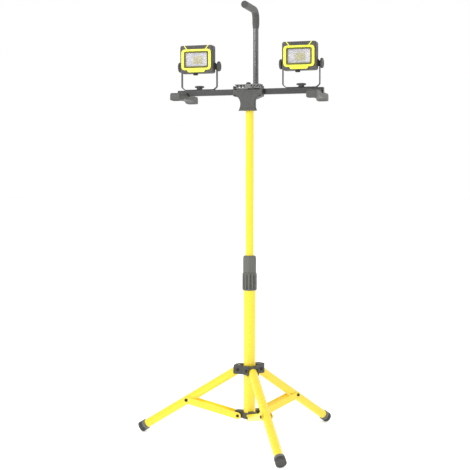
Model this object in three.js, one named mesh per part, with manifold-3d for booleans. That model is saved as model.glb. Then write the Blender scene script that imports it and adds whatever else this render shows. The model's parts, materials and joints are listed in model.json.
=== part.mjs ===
// Twin-head work light on a telescopic tripod.
// Millimetres, +Z up, floor at z = 0, the lamps face -Y and the crossbar runs along X.
// The origin is the middle of the outline that the light covers on the floor.
import * as THREE from "three";
import { mergeVertices } from "three/addons/utils/BufferGeometryUtils.js";
import Module from "manifold-3d";

const wasm = await Module();
wasm.setup();

// ---------------------------------------------------------------- driving dimensions
// Heights are above the floor, and radii are from the mast axis.
const GAP = 0.3; // between parts that touch
const WALL = 1.5; // steel tube wall

const LEG_AZIMUTHS = [180, -60, 60];
const LEG_RADIUS = 15.5;
const FOOT_RADIUS = 18.5;
const FOOT_LENGTH = 28;
const FOOT_CONTACT_RADIUS = 399;
const SOLE_CUT = 1; // depth of the small flat worn into each foot by the floor
const HUB_PIVOT = { r: 39, z: 246.5 };
const BRACKET_PIVOT = { r: 43, z: 82 };
const LEG_BOLT_DISTANCE = 225.7; // hub pivot to the strut's bolt, along the leg
const STRUT_HALF_HEIGHT = 12;
const STRUT_WALL = 2.2;
const STRUT_WEB_LENGTH = 42;
const BOLT_RADIUS = 3;
const BOLT_HEAD = { radius: 6, height: 4 };

const LOWER_TUBE = { radius: 21, bottom: 80, top: 594 };
const UPPER_TUBE = { radius: 14, bottom: 480, top: 1186 };
const HUB = {
  radius: 31,
  bottom: 231,
  ringTop: 261,
  top: 264,
  reach: 54,
  cheek: 4.5,
  lip: 8,
};
const BRACKET = { radius: 27, bottom: 74, ringTop: 95, armTop: 101, armHalf: 10, reach: 54 };
const SLEEVE = { radius: 25.2, bottom: 526, top: 588.7, flutes: 12 };
const NUT = { radius: 23, bottom: 589, top: 648.5, flutes: 10 };

const BAR_CENTRE_Z = 1219;
const BAR_HALF = 10; // half of the square tube's side
const BAR_HALF_LENGTH = 259;
const BAR_CAP = 4;
const TEE = {
  bottom: 1152.5,
  top: 1225.5,
  front: -30,
  back: 17,
  halfWidth: 50,
  plate: 11,
  neck: 22,
};
const TEE_FLANGE = { from: 47, to: 52, bottom: 1203, top: 1238 };
const TOP_FRAME = { bottom: 1229.3, top: 1244, front: -26, back: -12 };
const CLAMP_SCREW_Y = -16;
const HANDLE = { radius: 10, y: 79, bottom: 1233, axisZ: 1511, bend: 30, forward: 147.5 };
const GRIP = { radius: 12.5, drop: 32 };
const SOCKET = { radius: 16, top: 1252 };

const FOOT_BAR = { x: 241, halfWidth: 18, halfLength: 100, bottom: 1188, top: 1214 };
const LAMP_X = 184;
const TILT_Z = 1311;
const STIRRUP = { arm: 64.8, thickness: 2.5, halfDepth: 7, base: 54, rise: 11 };
const HEAD = { halfWidth: 60, bottom: -25, top: 72, front: -36, back: -8, corner: 7, wall: 2.5 };
const WINDOW = { halfWidth: 40, halfHeight: 24, z: 22 };
const BEZEL = { halfWidth: 54, halfHeight: 36, corner: 10, depth: 3.7 };
const REAR_HUMP = { halfWidth: 50, bottom: -18, top: 64, back: 12 };
const TILT_KNOB = { radius: 17.5, thickness: 10 };

// ---------------------------------------------------------------- values worked out from them
const BAR_TOP = BAR_CENTRE_Z + BAR_HALF;
const footReach = Math.hypot(FOOT_CONTACT_RADIUS - HUB_PIVOT.r, HUB_PIVOT.z);
const legTilt =
  Math.atan2(FOOT_CONTACT_RADIUS - HUB_PIVOT.r, HUB_PIVOT.z) + Math.asin(FOOT_RADIUS / footReach);
const legLength = Math.sqrt(footReach ** 2 - FOOT_RADIUS ** 2) + SOLE_CUT / Math.cos(legTilt);
const strutBolt = {
  r: HUB_PIVOT.r + LEG_BOLT_DISTANCE * Math.sin(legTilt),
  z: HUB_PIVOT.z - LEG_BOLT_DISTANCE * Math.cos(legTilt),
};
const strutLength = Math.hypot(strutBolt.r - BRACKET_PIVOT.r, strutBolt.z - BRACKET_PIVOT.z);
const strutRise = Math.asin((strutBolt.z - BRACKET_PIVOT.z) / strutLength);
const forkHalf = LEG_RADIUS + 2 * GAP; // half of the space that a leg swings in
const outermostFoot =
  HUB_PIVOT.r + legLength * Math.sin(legTilt) + FOOT_RADIUS * Math.cos(legTilt);
const mastX = (outermostFoot - BAR_HALF_LENGTH - BAR_CAP) / 2;
const radians = THREE.MathUtils.degToRad;

// ---------------------------------------------------------------- materials
const finish = (color, roughness, metalness = 0) =>
  new THREE.MeshStandardMaterial({ color, roughness, metalness });
const YELLOW_PAINT = finish(0xf5e63c, 0.35);
const DARK_PLASTIC = finish(0x55554f, 0.6);
const COLLAR_PLASTIC = finish(0x76786f, 0.55);
const RUBBER = finish(0x4a4a48, 0.85);
const BLACK_STEEL = finish(0x3c3c3c, 0.5, 0.4);
const BOLT_STEEL = finish(0x2e2e2e, 0.4, 0.6);
const HANDLE_STEEL = finish(0x8c8c8c, 0.25, 0.6);
const BEZEL_PLASTIC = finish(0xe8ee3c, 0.4);
const GLASS = finish(0xdfe8ea, 0.05);
const REFLECTOR = finish(0xd8d8d8, 0.15, 0.9);
const LED_PHOSPHOR = finish(0xd8d27a, 0.6);

// ---------------------------------------------------------------- joining and cutting
function toSolid(geometry) {
  const bare = geometry.clone();
  bare.deleteAttribute("normal");
  bare.deleteAttribute("uv");
  const merged = mergeVertices(bare, 1e-4);
  const index = merged.index.array;
  const triangles = [];
  for (let i = 0; i < index.length; i += 3) {
    const [a, b, c] = [index[i], index[i + 1], index[i + 2]];
    if (a !== b && b !== c && c !== a) triangles.push(a, b, c);
  }
  const mesh = new wasm.Mesh({
    numProp: 3,
    vertProperties: merged.attributes.position.array,
    triVerts: new Uint32Array(triangles),
  });
  return new wasm.Manifold(mesh);
}

function toGeometry(solid) {
  const { vertProperties, triVerts } = solid.getMesh();
  const geometry = new THREE.BufferGeometry();
  geometry.setAttribute("position", new THREE.BufferAttribute(vertProperties, 3));
  geometry.setIndex(new THREE.BufferAttribute(triVerts, 1));
  return geometry;
}

const join = (...pieces) => toGeometry(pieces.map(toSolid).reduce((a, b) => a.add(b)));
const cut = (piece, ...tools) =>
  toGeometry(tools.map(toSolid).reduce((a, b) => a.subtract(b), toSolid(piece)));
const overlapOf = (a, b) => toGeometry(toSolid(a).intersect(toSolid(b)));

// ---------------------------------------------------------------- simple shapes
function box(x0, x1, y0, y1, z0, z1) {
  const shape = new THREE.BoxGeometry(x1 - x0, y1 - y0, z1 - z0);
  return shape.translate((x0 + x1) / 2, (y0 + y1) / 2, (z0 + z1) / 2);
}

// Turns a shape built along Z so that it runs along the given axis.
function alongAxis(geometry, axis) {
  const x = new THREE.Vector3(1, 0, 0);
  const y = new THREE.Vector3(0, 1, 0);
  const z = new THREE.Vector3(0, 0, 1);
  const turn = new THREE.Matrix4();
  if (axis === "x") turn.makeBasis(y, z, x);
  if (axis === "y") turn.makeBasis(x, z.clone(), y.clone().negate());
  return geometry.applyMatrix4(turn);
}

// A prism whose outline is drawn in (y, z) for axis x, in (x, z) for axis y and in (x, y) for axis z.
function prism(outline, from, to, axis = "z", curveSegments = 2) {
  const options = { depth: to - from, bevelEnabled: false, curveSegments };
  const shape = new THREE.ExtrudeGeometry(outline, options);
  if (axis === "x") return alongAxis(shape, "x").translate(from, 0, 0);
  if (axis === "y") return alongAxis(shape, "y").translate(0, to, 0);
  return shape.translate(0, 0, from);
}

function rod(radius, from, to, axis = "z", sides = 16) {
  const shape = new THREE.CylinderGeometry(radius, radius, to - from, sides);
  shape.rotateX(Math.PI / 2).translate(0, 0, (from + to) / 2);
  if (axis === "x") return alongAxis(shape, "x");
  if (axis === "y") return shape.rotateX(-Math.PI / 2);
  return shape;
}

// A solid of revolution about Z from [radius, height] pairs that close on themselves or on the axis.
function turned(profile, sides = 20) {
  const area = profile.reduce((sum, [r, h], i) => {
    const [nextR, nextH] = profile[(i + 1) % profile.length];
    return sum + r * nextH - nextR * h;
  }, 0);
  const ordered = area > 0 ? profile : [...profile].reverse();
  const touchesAxis = ordered.some(([r]) => r === 0);
  const points = ordered.map(([r, h]) => new THREE.Vector2(r, h));
  if (touchesAxis) {
    while (points[0].x !== 0 || points[points.length - 1].x !== 0) points.push(points.shift());
  } else {
    points.push(points[0].clone());
  }
  return new THREE.LatheGeometry(points, sides).rotateX(Math.PI / 2);
}

const tube = (outer, inner, bottom, top, sides = 20) =>
  turned([[outer, bottom], [outer, top], [inner, top], [inner, bottom]], sides);

function roundedRect(halfWidth, halfHeight, corner, x = 0, y = 0) {
  const shape = new THREE.Shape();
  const [right, up] = [halfWidth - corner, halfHeight - corner];
  shape.absarc(x + right, y + up, corner, 0, Math.PI / 2);
  shape.absarc(x - right, y + up, corner, Math.PI / 2, Math.PI);
  shape.absarc(x - right, y - up, corner, Math.PI, 1.5 * Math.PI);
  shape.absarc(x + right, y - up, corner, 1.5 * Math.PI, 2 * Math.PI);
  return shape.closePath();
}

const polygon = (points) => new THREE.Shape(points.map(([x, y]) => new THREE.Vector2(x, y)));

// A round outline with shallow grip grooves.
function fluted(radius, count, depth = 1.4) {
  const step = (2 * Math.PI) / count;
  const points = [];
  for (let i = 0; i < count; i++) {
    const stations = [[0.1, 0], [0.6, 0], [0.85, depth]];
    for (const [share, inset] of stations) {
      const angle = (i + share) * step;
      points.push([(radius - inset) * Math.cos(angle), (radius - inset) * Math.sin(angle)]);
    }
  }
  return polygon(points);
}

// A box whose two Y faces have different sizes, centred on height z.
function taperedBox(front, back, y0, y1, z) {
  const shape = new THREE.BoxGeometry(2, y1 - y0, 2).translate(0, (y0 + y1) / 2, 0);
  const position = shape.attributes.position;
  for (let i = 0; i < position.count; i++) {
    const [halfX, halfZ] = position.getY(i) < (y0 + y1) / 2 ? front : back;
    position.setX(i, position.getX(i) * halfX);
    position.setZ(i, position.getZ(i) * halfZ + z);
  }
  return shape;
}

const mirroredX = (geometry) => {
  const flipped = geometry.index ? geometry.toNonIndexed() : geometry.clone();
  const p = flipped.attributes.position;
  for (let i = 0; i < p.count; i++) p.setX(i, -p.getX(i));
  for (let i = 0; i < p.count; i += 3) {
    const second = [p.getX(i + 1), p.getY(i + 1), p.getZ(i + 1)];
    p.setXYZ(i + 1, p.getX(i + 2), p.getY(i + 2), p.getZ(i + 2));
    p.setXYZ(i + 2, ...second);
  }
  return flipped;
};

// ---------------------------------------------------------------- mast
const lowerTube = () =>
  tube(LOWER_TUBE.radius, LOWER_TUBE.radius - WALL, LOWER_TUBE.bottom, LOWER_TUBE.top);

function mastPlug() {
  const { radius, bottom } = LOWER_TUBE;
  const stem = radius - WALL - GAP;
  return turned([
    [0, BRACKET.bottom],
    [radius, BRACKET.bottom],
    [radius, bottom - GAP],
    [stem, bottom - GAP],
    [stem, bottom + 14],
    [0, bottom + 14],
  ]);
}

function lowerBracket() {
  const { radius, bottom, ringTop, armTop, armHalf, reach } = BRACKET;
  const pieces = [rod(radius, bottom, ringTop, "z", 20)];
  const arm = new THREE.Shape();
  arm.moveTo(radius - 8, bottom);
  arm.lineTo(reach - 9, bottom);
  arm.quadraticCurveTo(reach, bottom, reach, BRACKET_PIVOT.z);
  arm.quadraticCurveTo(reach, armTop, reach - 12, armTop);
  arm.lineTo(radius - 8, armTop);
  for (const azimuth of LEG_AZIMUTHS) {
    const pin = rod(BOLT_RADIUS + GAP, -armHalf - 1, armHalf + 1, "y", 8);
    pin.translate(BRACKET_PIVOT.r, 0, BRACKET_PIVOT.z);
    pieces.push(cut(prism(arm, -armHalf, armHalf, "y"), pin).rotateZ(radians(azimuth)));
  }
  const bore = rod(LOWER_TUBE.radius + GAP, bottom - 1, armTop + 1, "z", 20);
  return cut(join(...pieces), bore);
}

function collarSleeve() {
  const { radius, bottom, top, flutes } = SLEEVE;
  const grooved = prism(fluted(radius, flutes), bottom, top);
  const shoulders = turned([
    [0, bottom],
    [radius - 3, bottom],
    [radius, bottom + 5],
    [radius, top - 5],
    [radius - 3, top],
    [0, top],
  ]);
  const bore = rod(LOWER_TUBE.radius + GAP, bottom - 1, top + 1, "z", 20);
  return cut(overlapOf(grooved, shoulders), bore);
}

function collarNut() {
  const { radius, bottom, top, flutes } = NUT;
  const seat = LOWER_TUBE.top + GAP;
  const grooved = prism(fluted(radius, flutes, 0.7), bottom, top);
  const body = turned([[0, bottom], [radius, bottom], [radius, top - 6], [radius - 5, top], [0, top]]);
  return cut(
    overlapOf(grooved, body),
    rod(LOWER_TUBE.radius + GAP, bottom - 1, seat, "z", 40),
    rod(LOWER_TUBE.radius - WALL, seat - 1, top - 4, "z", 20),
    rod(UPPER_TUBE.radius + GAP, seat, top + 1, "z", 20),
  );
}

function collet() {
  const from = LOWER_TUBE.top + 2 * GAP;
  const ring = tube(LOWER_TUBE.radius - WALL - 0.4, UPPER_TUBE.radius + GAP, from, NUT.top - 4.4);
  return cut(ring, box(0, 30, -1.2, 1.2, from + 6, NUT.top));
}

// ---------------------------------------------------------------- hub, legs and struts
function legHub() {
  const { radius, bottom, ringTop, top, reach, cheek } = HUB;
  const pieces = [rod(radius, bottom, ringTop, "z", 20)];
  const outline = new THREE.Shape();
  outline.moveTo(14, bottom);
  outline.lineTo(reach - 3, bottom);
  outline.quadraticCurveTo(reach, bottom, reach, bottom + 4);
  outline.lineTo(reach, top - 14);
  outline.quadraticCurveTo(reach, top, reach - 14, top);
  outline.lineTo(24, top);
  outline.lineTo(18, ringTop);
  outline.lineTo(14, ringTop);
  for (const azimuth of LEG_AZIMUTHS) {
    for (const side of [-1, 1]) {
      const inner = side * forkHalf;
      const outer = side * (forkHalf + cheek);
      const plate = prism(outline, Math.min(inner, outer), Math.max(inner, outer), "y");
      pieces.push(plate.rotateZ(radians(azimuth)));
    }
  }
  const tools = [rod(LOWER_TUBE.radius + 0.4, bottom - 1, top + 1, "z", 20)];
  const slotStart = HUB_PIVOT.r - LEG_RADIUS - GAP;
  for (const azimuth of LEG_AZIMUTHS) {
    const slot = box(slotStart, reach + 1, -forkHalf, forkHalf, bottom - 1, top + 1);
    const pin = rod(BOLT_RADIUS + GAP, -40, 40, "y", 8).translate(HUB_PIVOT.r, 0, HUB_PIVOT.z);
    tools.push(slot.rotateZ(radians(azimuth)), pin.rotateZ(radians(azimuth)));
  }
  tools.push(lockScrewAlong(BOLT_RADIUS + GAP, 12, 40));
  const lips = LEG_AZIMUTHS.map((azimuth) => hubLip().rotateZ(radians(azimuth)));
  return join(cut(join(...pieces), ...tools), ...lips);
}

// The arched lip over a leg, between the ends of its two cheeks.
function hubLip() {
  const { top, reach, lip } = HUB;
  const clearance = LEG_RADIUS + 0.8;
  const block = box(reach - lip, reach - 1, -forkHalf - 1, forkHalf + 1, HUB_PIVOT.z, top - 1);
  const leg = rod(clearance, -60, 0).rotateY(-legTilt);
  const end = rod(clearance, -forkHalf, forkHalf, "y");
  const place = (shape) => shape.translate(HUB_PIVOT.r, 0, HUB_PIVOT.z);
  return cut(block, place(leg), place(end));
}

// The clamp screw's line: straight out of the hub, half way between two legs.
const LOCK_AZIMUTH = 120;
const lockScrewAlong = (radius, from, to, sides = 8) =>
  rod(radius, from, to, "x", sides)
    .translate(0, 0, HUB_PIVOT.z + 3)
    .rotateZ(radians(LOCK_AZIMUTH));

function hubLockKnob() {
  const knob = prism(fluted(12, 8, 1.6), HUB.radius + 4, HUB.radius + 18);
  alongAxis(knob, "x").translate(0, 0, HUB_PIVOT.z + 3).rotateZ(radians(LOCK_AZIMUTH));
  return join(knob, lockScrewAlong(BOLT_RADIUS, LOWER_TUBE.radius + 2, HUB.radius + 6));
}

function pivotBolt(halfGrip) {
  const { radius, height } = BOLT_HEAD;
  const end = halfGrip + height;
  return join(
    rod(BOLT_RADIUS, -end, end, "y", 8),
    rod(radius, -end, -halfGrip - GAP, "y", 10),
    rod(radius, halfGrip + GAP, end, "y", 10),
  );
}

// The leg runs down local -Z from the hub pivot at the local origin.
function legTube() {
  const tip = -(legLength - 6);
  const [outer, inner] = [LEG_RADIUS, LEG_RADIUS - WALL];
  const profile = [[0, outer]];
  for (const angle of [30, 60, 90]) {
    profile.push([outer * Math.sin(radians(angle)), outer * Math.cos(radians(angle))]);
  }
  profile.push([outer, tip], [inner, tip], [inner, 0], [inner * 0.7, inner * 0.7], [0, inner]);
  const hole = () => rod(BOLT_RADIUS + GAP, -20, 20, "y", 8);
  return cut(turned(profile, 16), hole(), hole().translate(0, 0, -LEG_BOLT_DISTANCE));
}

function footCap() {
  const [tip, rim] = [-legLength, -(legLength - FOOT_LENGTH)];
  const bore = LEG_RADIUS + GAP;
  const cap = turned([
    [0, tip],
    [FOOT_RADIUS, tip],
    [FOOT_RADIUS, rim + 2],
    [FOOT_RADIUS - 1.2, rim],
    [bore, rim],
    [bore, tip + 5.5],
    [0, tip + 5.5],
  ]);
  const belowFloor = box(-200, 800, -100, 100, -300, 0);
  belowFloor.translate(-HUB_PIVOT.r, 0, -HUB_PIVOT.z).rotateY(legTilt);
  return cut(cap, belowFloor);
}

// The strut runs from its bolt on the leg, at the local origin, down local -X to the bracket.
function strut() {
  const outline = new THREE.Shape();
  outline.absarc(0, 0, STRUT_HALF_HEIGHT, -Math.PI / 2, Math.PI / 2);
  outline.absarc(-strutLength, 0, STRUT_HALF_HEIGHT, Math.PI / 2, 1.5 * Math.PI);
  outline.closePath();
  const webEnd = -strutLength + 18;
  const inner = forkHalf;
  const outer = forkHalf + STRUT_WALL;
  const pin = () => rod(BOLT_RADIUS + GAP, -30, 30, "y", 8);
  const floor = -STRUT_HALF_HEIGHT;
  const body = join(
    prism(outline, inner, outer, "y"),
    prism(outline, -outer, -inner, "y"),
    box(webEnd, webEnd + STRUT_WEB_LENGTH, -outer, outer, floor, floor + STRUT_WALL),
  );
  return cut(body, pin(), pin().translate(-strutLength, 0, 0));
}

// ---------------------------------------------------------------- upper mast and tee
const upperTube = () =>
  tube(UPPER_TUBE.radius, UPPER_TUBE.radius - WALL, UPPER_TUBE.bottom, UPPER_TUBE.top);

function guideBush() {
  const stem = UPPER_TUBE.radius - WALL - GAP;
  const flange = LOWER_TUBE.radius - WALL - GAP;
  const { bottom } = UPPER_TUBE;
  return turned([
    [0, bottom - 16],
    [flange, bottom - 16],
    [flange, bottom - GAP],
    [stem, bottom - GAP],
    [stem, bottom + 18],
    [0, bottom + 18],
  ]);
}

// Waisted outline of the tee, wide at the crossbar and flared again at its foot.
function teeOutline() {
  const { bottom, top, halfWidth } = TEE;
  const waist = 27;
  const foot = 33;
  const shape = new THREE.Shape();
  shape.moveTo(-foot, bottom);
  shape.lineTo(foot, bottom);
  shape.bezierCurveTo(foot - 5, bottom + 9, waist - 2, bottom + 20, waist, bottom + 30);
  shape.bezierCurveTo(waist + 3, bottom + 43, halfWidth - 12, bottom + 52, halfWidth, bottom + 55);
  shape.lineTo(halfWidth, top);
  shape.lineTo(-halfWidth, top);
  shape.lineTo(-halfWidth, bottom + 55);
  shape.bezierCurveTo(-halfWidth + 12, bottom + 52, -waist - 3, bottom + 43, -waist, bottom + 30);
  shape.bezierCurveTo(-waist + 2, bottom + 20, -foot + 5, bottom + 9, -foot, bottom);
  return shape;
}

// The block that holds the crossbar, behind the face plate.
function clampOutline() {
  const { top, neck, halfWidth } = TEE;
  const end = halfWidth - 2;
  const under = BAR_CENTRE_Z - BAR_HALF - 6;
  return polygon([
    [-neck, under - 9],
    [neck, under - 9],
    [end, under],
    [end, top],
    [-end, top],
    [-end, under],
  ]);
}

const teeNeck = () => rod(TEE.neck, TEE.bottom + 1, BAR_CENTRE_Z - BAR_HALF - 10, "z", 20);

const barTunnel = (bottom, top) =>
  box(-80, 80, -BAR_HALF - GAP, BAR_HALF + GAP, bottom, top);
const tubeSocket = () =>
  rod(UPPER_TUBE.radius + GAP, TEE.bottom - 1, UPPER_TUBE.top + GAP, "z", 20);

function teeFrontShell() {
  const { from, to, bottom, top } = TEE_FLANGE;
  const parting = -GAP / 2;
  const pieces = [
    prism(teeOutline(), TEE.front, TEE.front + TEE.plate, "y", 5),
    prism(clampOutline(), TEE.front + TEE.plate - 1, parting, "y"),
    overlapOf(teeNeck(), box(-30, 30, TEE.front + 1, parting, 0, 2000)),
  ];
  for (const side of [-1, 1]) {
    const [x0, x1] = [Math.min(side * from, side * to), Math.max(side * from, side * to)];
    pieces.push(box(x0, x1, TEE.front, parting, bottom, top));
  }
  const tunnel = barTunnel(BAR_CENTRE_Z - BAR_HALF - GAP, BAR_TOP + GAP);
  const screw = rod(BOLT_RADIUS + GAP, TEE.top - 24, TEE.top + 1, "z", 8);
  return cut(join(...pieces), tunnel, tubeSocket(), screw.translate(0, CLAMP_SCREW_Y, 0));
}

function teeRearShell() {
  const parting = GAP / 2;
  const block = prism(clampOutline(), parting, TEE.back, "y");
  const neck = overlapOf(teeNeck(), box(-30, 30, parting, 30, 0, 2000));
  const tunnel = barTunnel(BAR_CENTRE_Z - BAR_HALF - GAP, BAR_TOP + GAP);
  return cut(join(block, neck), tunnel, tubeSocket());
}

// Latticed top clamp with an arm behind it that carries the handle's socket.
function topFrame() {
  const { bottom, top, front, back } = TOP_FRAME;
  const chordTop = 3;
  const chordBottom = 1.6;
  const end = TEE_FLANGE.from - GAP;
  const centre = 11;
  const pieces = [
    box(-end, end, front, back, top - chordTop, top),
    box(-end, end, front, back, bottom, bottom + chordBottom),
    box(-centre, centre, front, back, bottom, top),
  ];
  const bays = 3;
  const bay = (end - centre) / bays;
  const lean = 9;
  for (const side of [-1, 1]) {
    for (let i = 0; i < bays; i++) {
      const head = side * (centre + (i + 1) * bay);
      const foot = head - side * lean;
      const rib = polygon([
        [head - side * 4, top - 1],
        [head, top - 1],
        [foot, bottom + 1],
        [foot - side * 4, bottom + 1],
      ]);
      pieces.push(prism(rib, front, back, "y"));
    }
  }
  const arm = new THREE.Shape();
  arm.moveTo(-end, back - 2);
  arm.lineTo(end, back - 2);
  arm.lineTo(end, 4);
  arm.quadraticCurveTo(22, 20, SOCKET.radius, HANDLE.y);
  arm.absarc(0, HANDLE.y, SOCKET.radius, 0, Math.PI);
  arm.quadraticCurveTo(-22, 20, -end, 4);
  pieces.push(prism(arm, top - 6, top, "z", 6));
  pieces.push(box(-3, 3, back - 2, HANDLE.y, bottom, top - 2));
  pieces.push(rod(SOCKET.radius, bottom, SOCKET.top).translate(0, HANDLE.y, 0));
  const tools = [
    rod(HANDLE.radius + GAP, HANDLE.bottom - GAP, SOCKET.top + 1).translate(0, HANDLE.y, 0),
    rod(BOLT_RADIUS + GAP, bottom - 1, top + 1, "z", 8).translate(0, CLAMP_SCREW_Y, 0),
  ];
  return cut(join(...pieces), ...tools);
}

function teeKnob() {
  const knob = turned([
    [0, TOP_FRAME.top + GAP],
    [7, TOP_FRAME.top + GAP],
    [8.5, TOP_FRAME.top + 2],
    [8, TOP_FRAME.top + 5],
    [5, TOP_FRAME.top + 7],
    [0, TOP_FRAME.top + 7.5],
  ], 20);
  const screw = rod(BOLT_RADIUS, TEE.top - 22, TOP_FRAME.top + 2, "z", 8);
  return join(knob, screw).translate(0, CLAMP_SCREW_Y, 0);
}

// ---------------------------------------------------------------- handle
// The hook's centre line: up, round the bend and forward, with stations only where it turns.
class HookLine extends THREE.Curve {
  constructor(bottomZ, frontY, bendSteps) {
    super();
    Object.assign(this, { bottomZ, frontY, bendSteps });
  }

  getPointAt(share) {
    const station = share * (this.bendSteps + 2);
    const { y, axisZ, bend } = HANDLE;
    const angle = this.angleAt(station);
    if (station < 0.5) return new THREE.Vector3(0, y, this.bottomZ);
    if (station > this.bendSteps + 1.5) return new THREE.Vector3(0, this.frontY, axisZ);
    const centre = { y: y - bend, z: axisZ - bend };
    return new THREE.Vector3(
      0,
      centre.y + bend * Math.cos(angle),
      centre.z + bend * Math.sin(angle),
    );
  }

  getTangentAt(share) {
    const angle = this.angleAt(share * (this.bendSteps + 2));
    return new THREE.Vector3(0, -Math.sin(angle), Math.cos(angle));
  }

  angleAt(station) {
    const turn = THREE.MathUtils.clamp((station - 1) / this.bendSteps, 0, 1);
    return (turn * Math.PI) / 2;
  }
}

function hookRod(radius, bottomZ, frontY, sides = 14) {
  const bendSteps = 6;
  const points = [];
  for (let i = 0; i < sides; i++) {
    const angle = (i * 2 * Math.PI) / sides;
    points.push([radius * Math.cos(angle), radius * Math.sin(angle)]);
  }
  return new THREE.ExtrudeGeometry(polygon(points), {
    steps: bendSteps + 2,
    bevelEnabled: false,
    extrudePath: new HookLine(bottomZ, frontY, bendSteps),
  });
}

const handleFrontY = HANDLE.y - HANDLE.forward;

function handlePost() {
  const { radius, bottom } = HANDLE;
  const inner = hookRod(radius - WALL, bottom - 5, handleFrontY, 14);
  return cut(hookRod(radius, bottom, handleFrontY + 5), inner);
}

function handleGrip() {
  const bottom = HANDLE.axisZ - HANDLE.bend - GRIP.drop;
  const bore = hookRod(HANDLE.radius + GAP, bottom - 5, handleFrontY + 4.5);
  return cut(hookRod(GRIP.radius, bottom, handleFrontY), bore);
}

// ---------------------------------------------------------------- crossbar and its feet
function crossbar() {
  const outline = roundedRect(BAR_HALF, BAR_HALF, 2, 0, BAR_CENTRE_Z);
  const hollow = roundedRect(BAR_HALF - WALL, BAR_HALF - WALL, 1, 0, BAR_CENTRE_Z);
  const bar = prism(outline, -BAR_HALF_LENGTH, BAR_HALF_LENGTH, "x", 2);
  const core = prism(hollow, -BAR_HALF_LENGTH - 1, BAR_HALF_LENGTH + 1, "x", 1);
  const studHole = (x) =>
    rod(BOLT_RADIUS + GAP, BAR_CENTRE_Z, BAR_TOP + 1, "z", 8).translate(x, 0, 0);
  return cut(bar, core, studHole(LAMP_X), studHole(-LAMP_X));
}

function barCap(side) {
  const outline = roundedRect(BAR_HALF, BAR_HALF, 3, 0, BAR_CENTRE_Z);
  const stem = roundedRect(BAR_HALF - WALL - GAP, BAR_HALF - WALL - GAP, 1.2, 0, BAR_CENTRE_Z);
  const from = BAR_HALF_LENGTH + GAP;
  const cap = join(
    prism(outline, from, BAR_HALF_LENGTH + BAR_CAP - 1, "x", 2),
    prism(roundedRect(BAR_HALF - 1.2, BAR_HALF - 1.2, 3, 0, BAR_CENTRE_Z), from, from + 3.7, "x", 2),
    prism(stem, BAR_HALF_LENGTH - 12, from + 1, "x", 2),
  );
  return side > 0 ? cap : mirroredX(cap);
}

// One foot bar, across the end of the crossbar, centred on local X = 0.
function footBar() {
  const { halfWidth, halfLength, bottom, top } = FOOT_BAR;
  const pad = 34; // length of the flat pad under each end
  const arch = 7;
  const side = new THREE.Shape();
  side.moveTo(-halfLength + 3, bottom);
  side.lineTo(-halfLength + pad, bottom);
  side.quadraticCurveTo(-halfLength + pad + 14, bottom + arch, -22, bottom + arch);
  side.lineTo(22, bottom + arch);
  side.quadraticCurveTo(halfLength - pad - 14, bottom + arch, halfLength - pad, bottom);
  side.lineTo(halfLength - 3, bottom);
  side.quadraticCurveTo(halfLength, bottom, halfLength, bottom + 4);
  side.lineTo(halfLength, top - 9);
  side.quadraticCurveTo(halfLength, top, halfLength - 10, top);
  side.lineTo(-halfLength + 10, top);
  side.quadraticCurveTo(-halfLength, top, -halfLength, top - 9);
  side.lineTo(-halfLength, bottom + 4);
  side.quadraticCurveTo(-halfLength, bottom, -halfLength + 3, bottom);
  const beam = prism(side, -halfWidth, halfWidth, "x");
  const plan = prism(roundedRect(halfWidth, halfLength, 7), bottom - 1, top + 1, "z", 3);
  const saddle = box(-halfWidth + 2, halfWidth - 2, -26, 26, top - 2, top + 7);
  const notch = box(
    -halfWidth - 1,
    halfWidth + 1,
    -BAR_HALF - GAP,
    BAR_HALF + GAP,
    BAR_CENTRE_Z - BAR_HALF - GAP,
    top + 20,
  );
  return cut(join(overlapOf(beam, plan), saddle), notch);
}

// ---------------------------------------------------------------- lamps
// Stirrup heights are relative to the crossbar's top face.
function stirrup() {
  const { arm, thickness, halfDepth, base, rise } = STIRRUP;
  const bend = 10;
  const t = thickness;
  const outer = arm + t / 2;
  const inner = arm - t / 2;
  const top = TILT_Z - BAR_TOP;
  const outline = polygon([
    [-base, GAP],
    [base, GAP],
    [outer, GAP + bend],
    [outer, top],
    [inner, top],
    [inner, GAP + rise],
    [base - 1, GAP + t],
    [-base + 1, GAP + t],
    [-inner, GAP + rise],
    [-inner, top],
    [-outer, top],
    [-outer, GAP + bend],
  ]);
  const strip = prism(outline, -halfDepth, halfDepth, "y");
  const ears = [-1, 1].map((side) => {
    const [x0, x1] = side > 0 ? [inner, outer] : [-outer, -inner];
    return rod(9, x0, x1, "x", 14).translate(0, 0, top);
  });
  const tiltHole = rod(BOLT_RADIUS + 2 * GAP, -90, 90, "x", 8).translate(0, 0, top);
  const panHole = rod(BOLT_RADIUS + 2 * GAP, -1, 8, "z", 8);
  return cut(join(strip, ...ears), tiltHole, panHole);
}

function panKnob() {
  const from = STIRRUP.thickness + 2 * GAP;
  const top = 15;
  const knob = turned([
    [0, from],
    [11, from],
    [10, from + 3],
    [12, from + 6],
    [17, from + 7],
    [17, top - 2.5],
    [14.5, top - 0.4],
    [0, top],
  ], 24);
  return join(knob, rod(BOLT_RADIUS, -14, from + 2, "z", 8));
}

const headOutline = (inset) => {
  const middle = (HEAD.bottom + HEAD.top) / 2;
  const halfHeight = (HEAD.top - HEAD.bottom) / 2;
  return roundedRect(HEAD.halfWidth - inset, halfHeight - inset, HEAD.corner - inset, 0, middle);
};
const windowOutline = (margin, corner) =>
  roundedRect(WINDOW.halfWidth + margin, WINDOW.halfHeight + margin, corner, 0, WINDOW.z);

const BUTTON = { x: -8, y: -20, radius: 9, travel: 1.5, proud: 6 };

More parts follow.
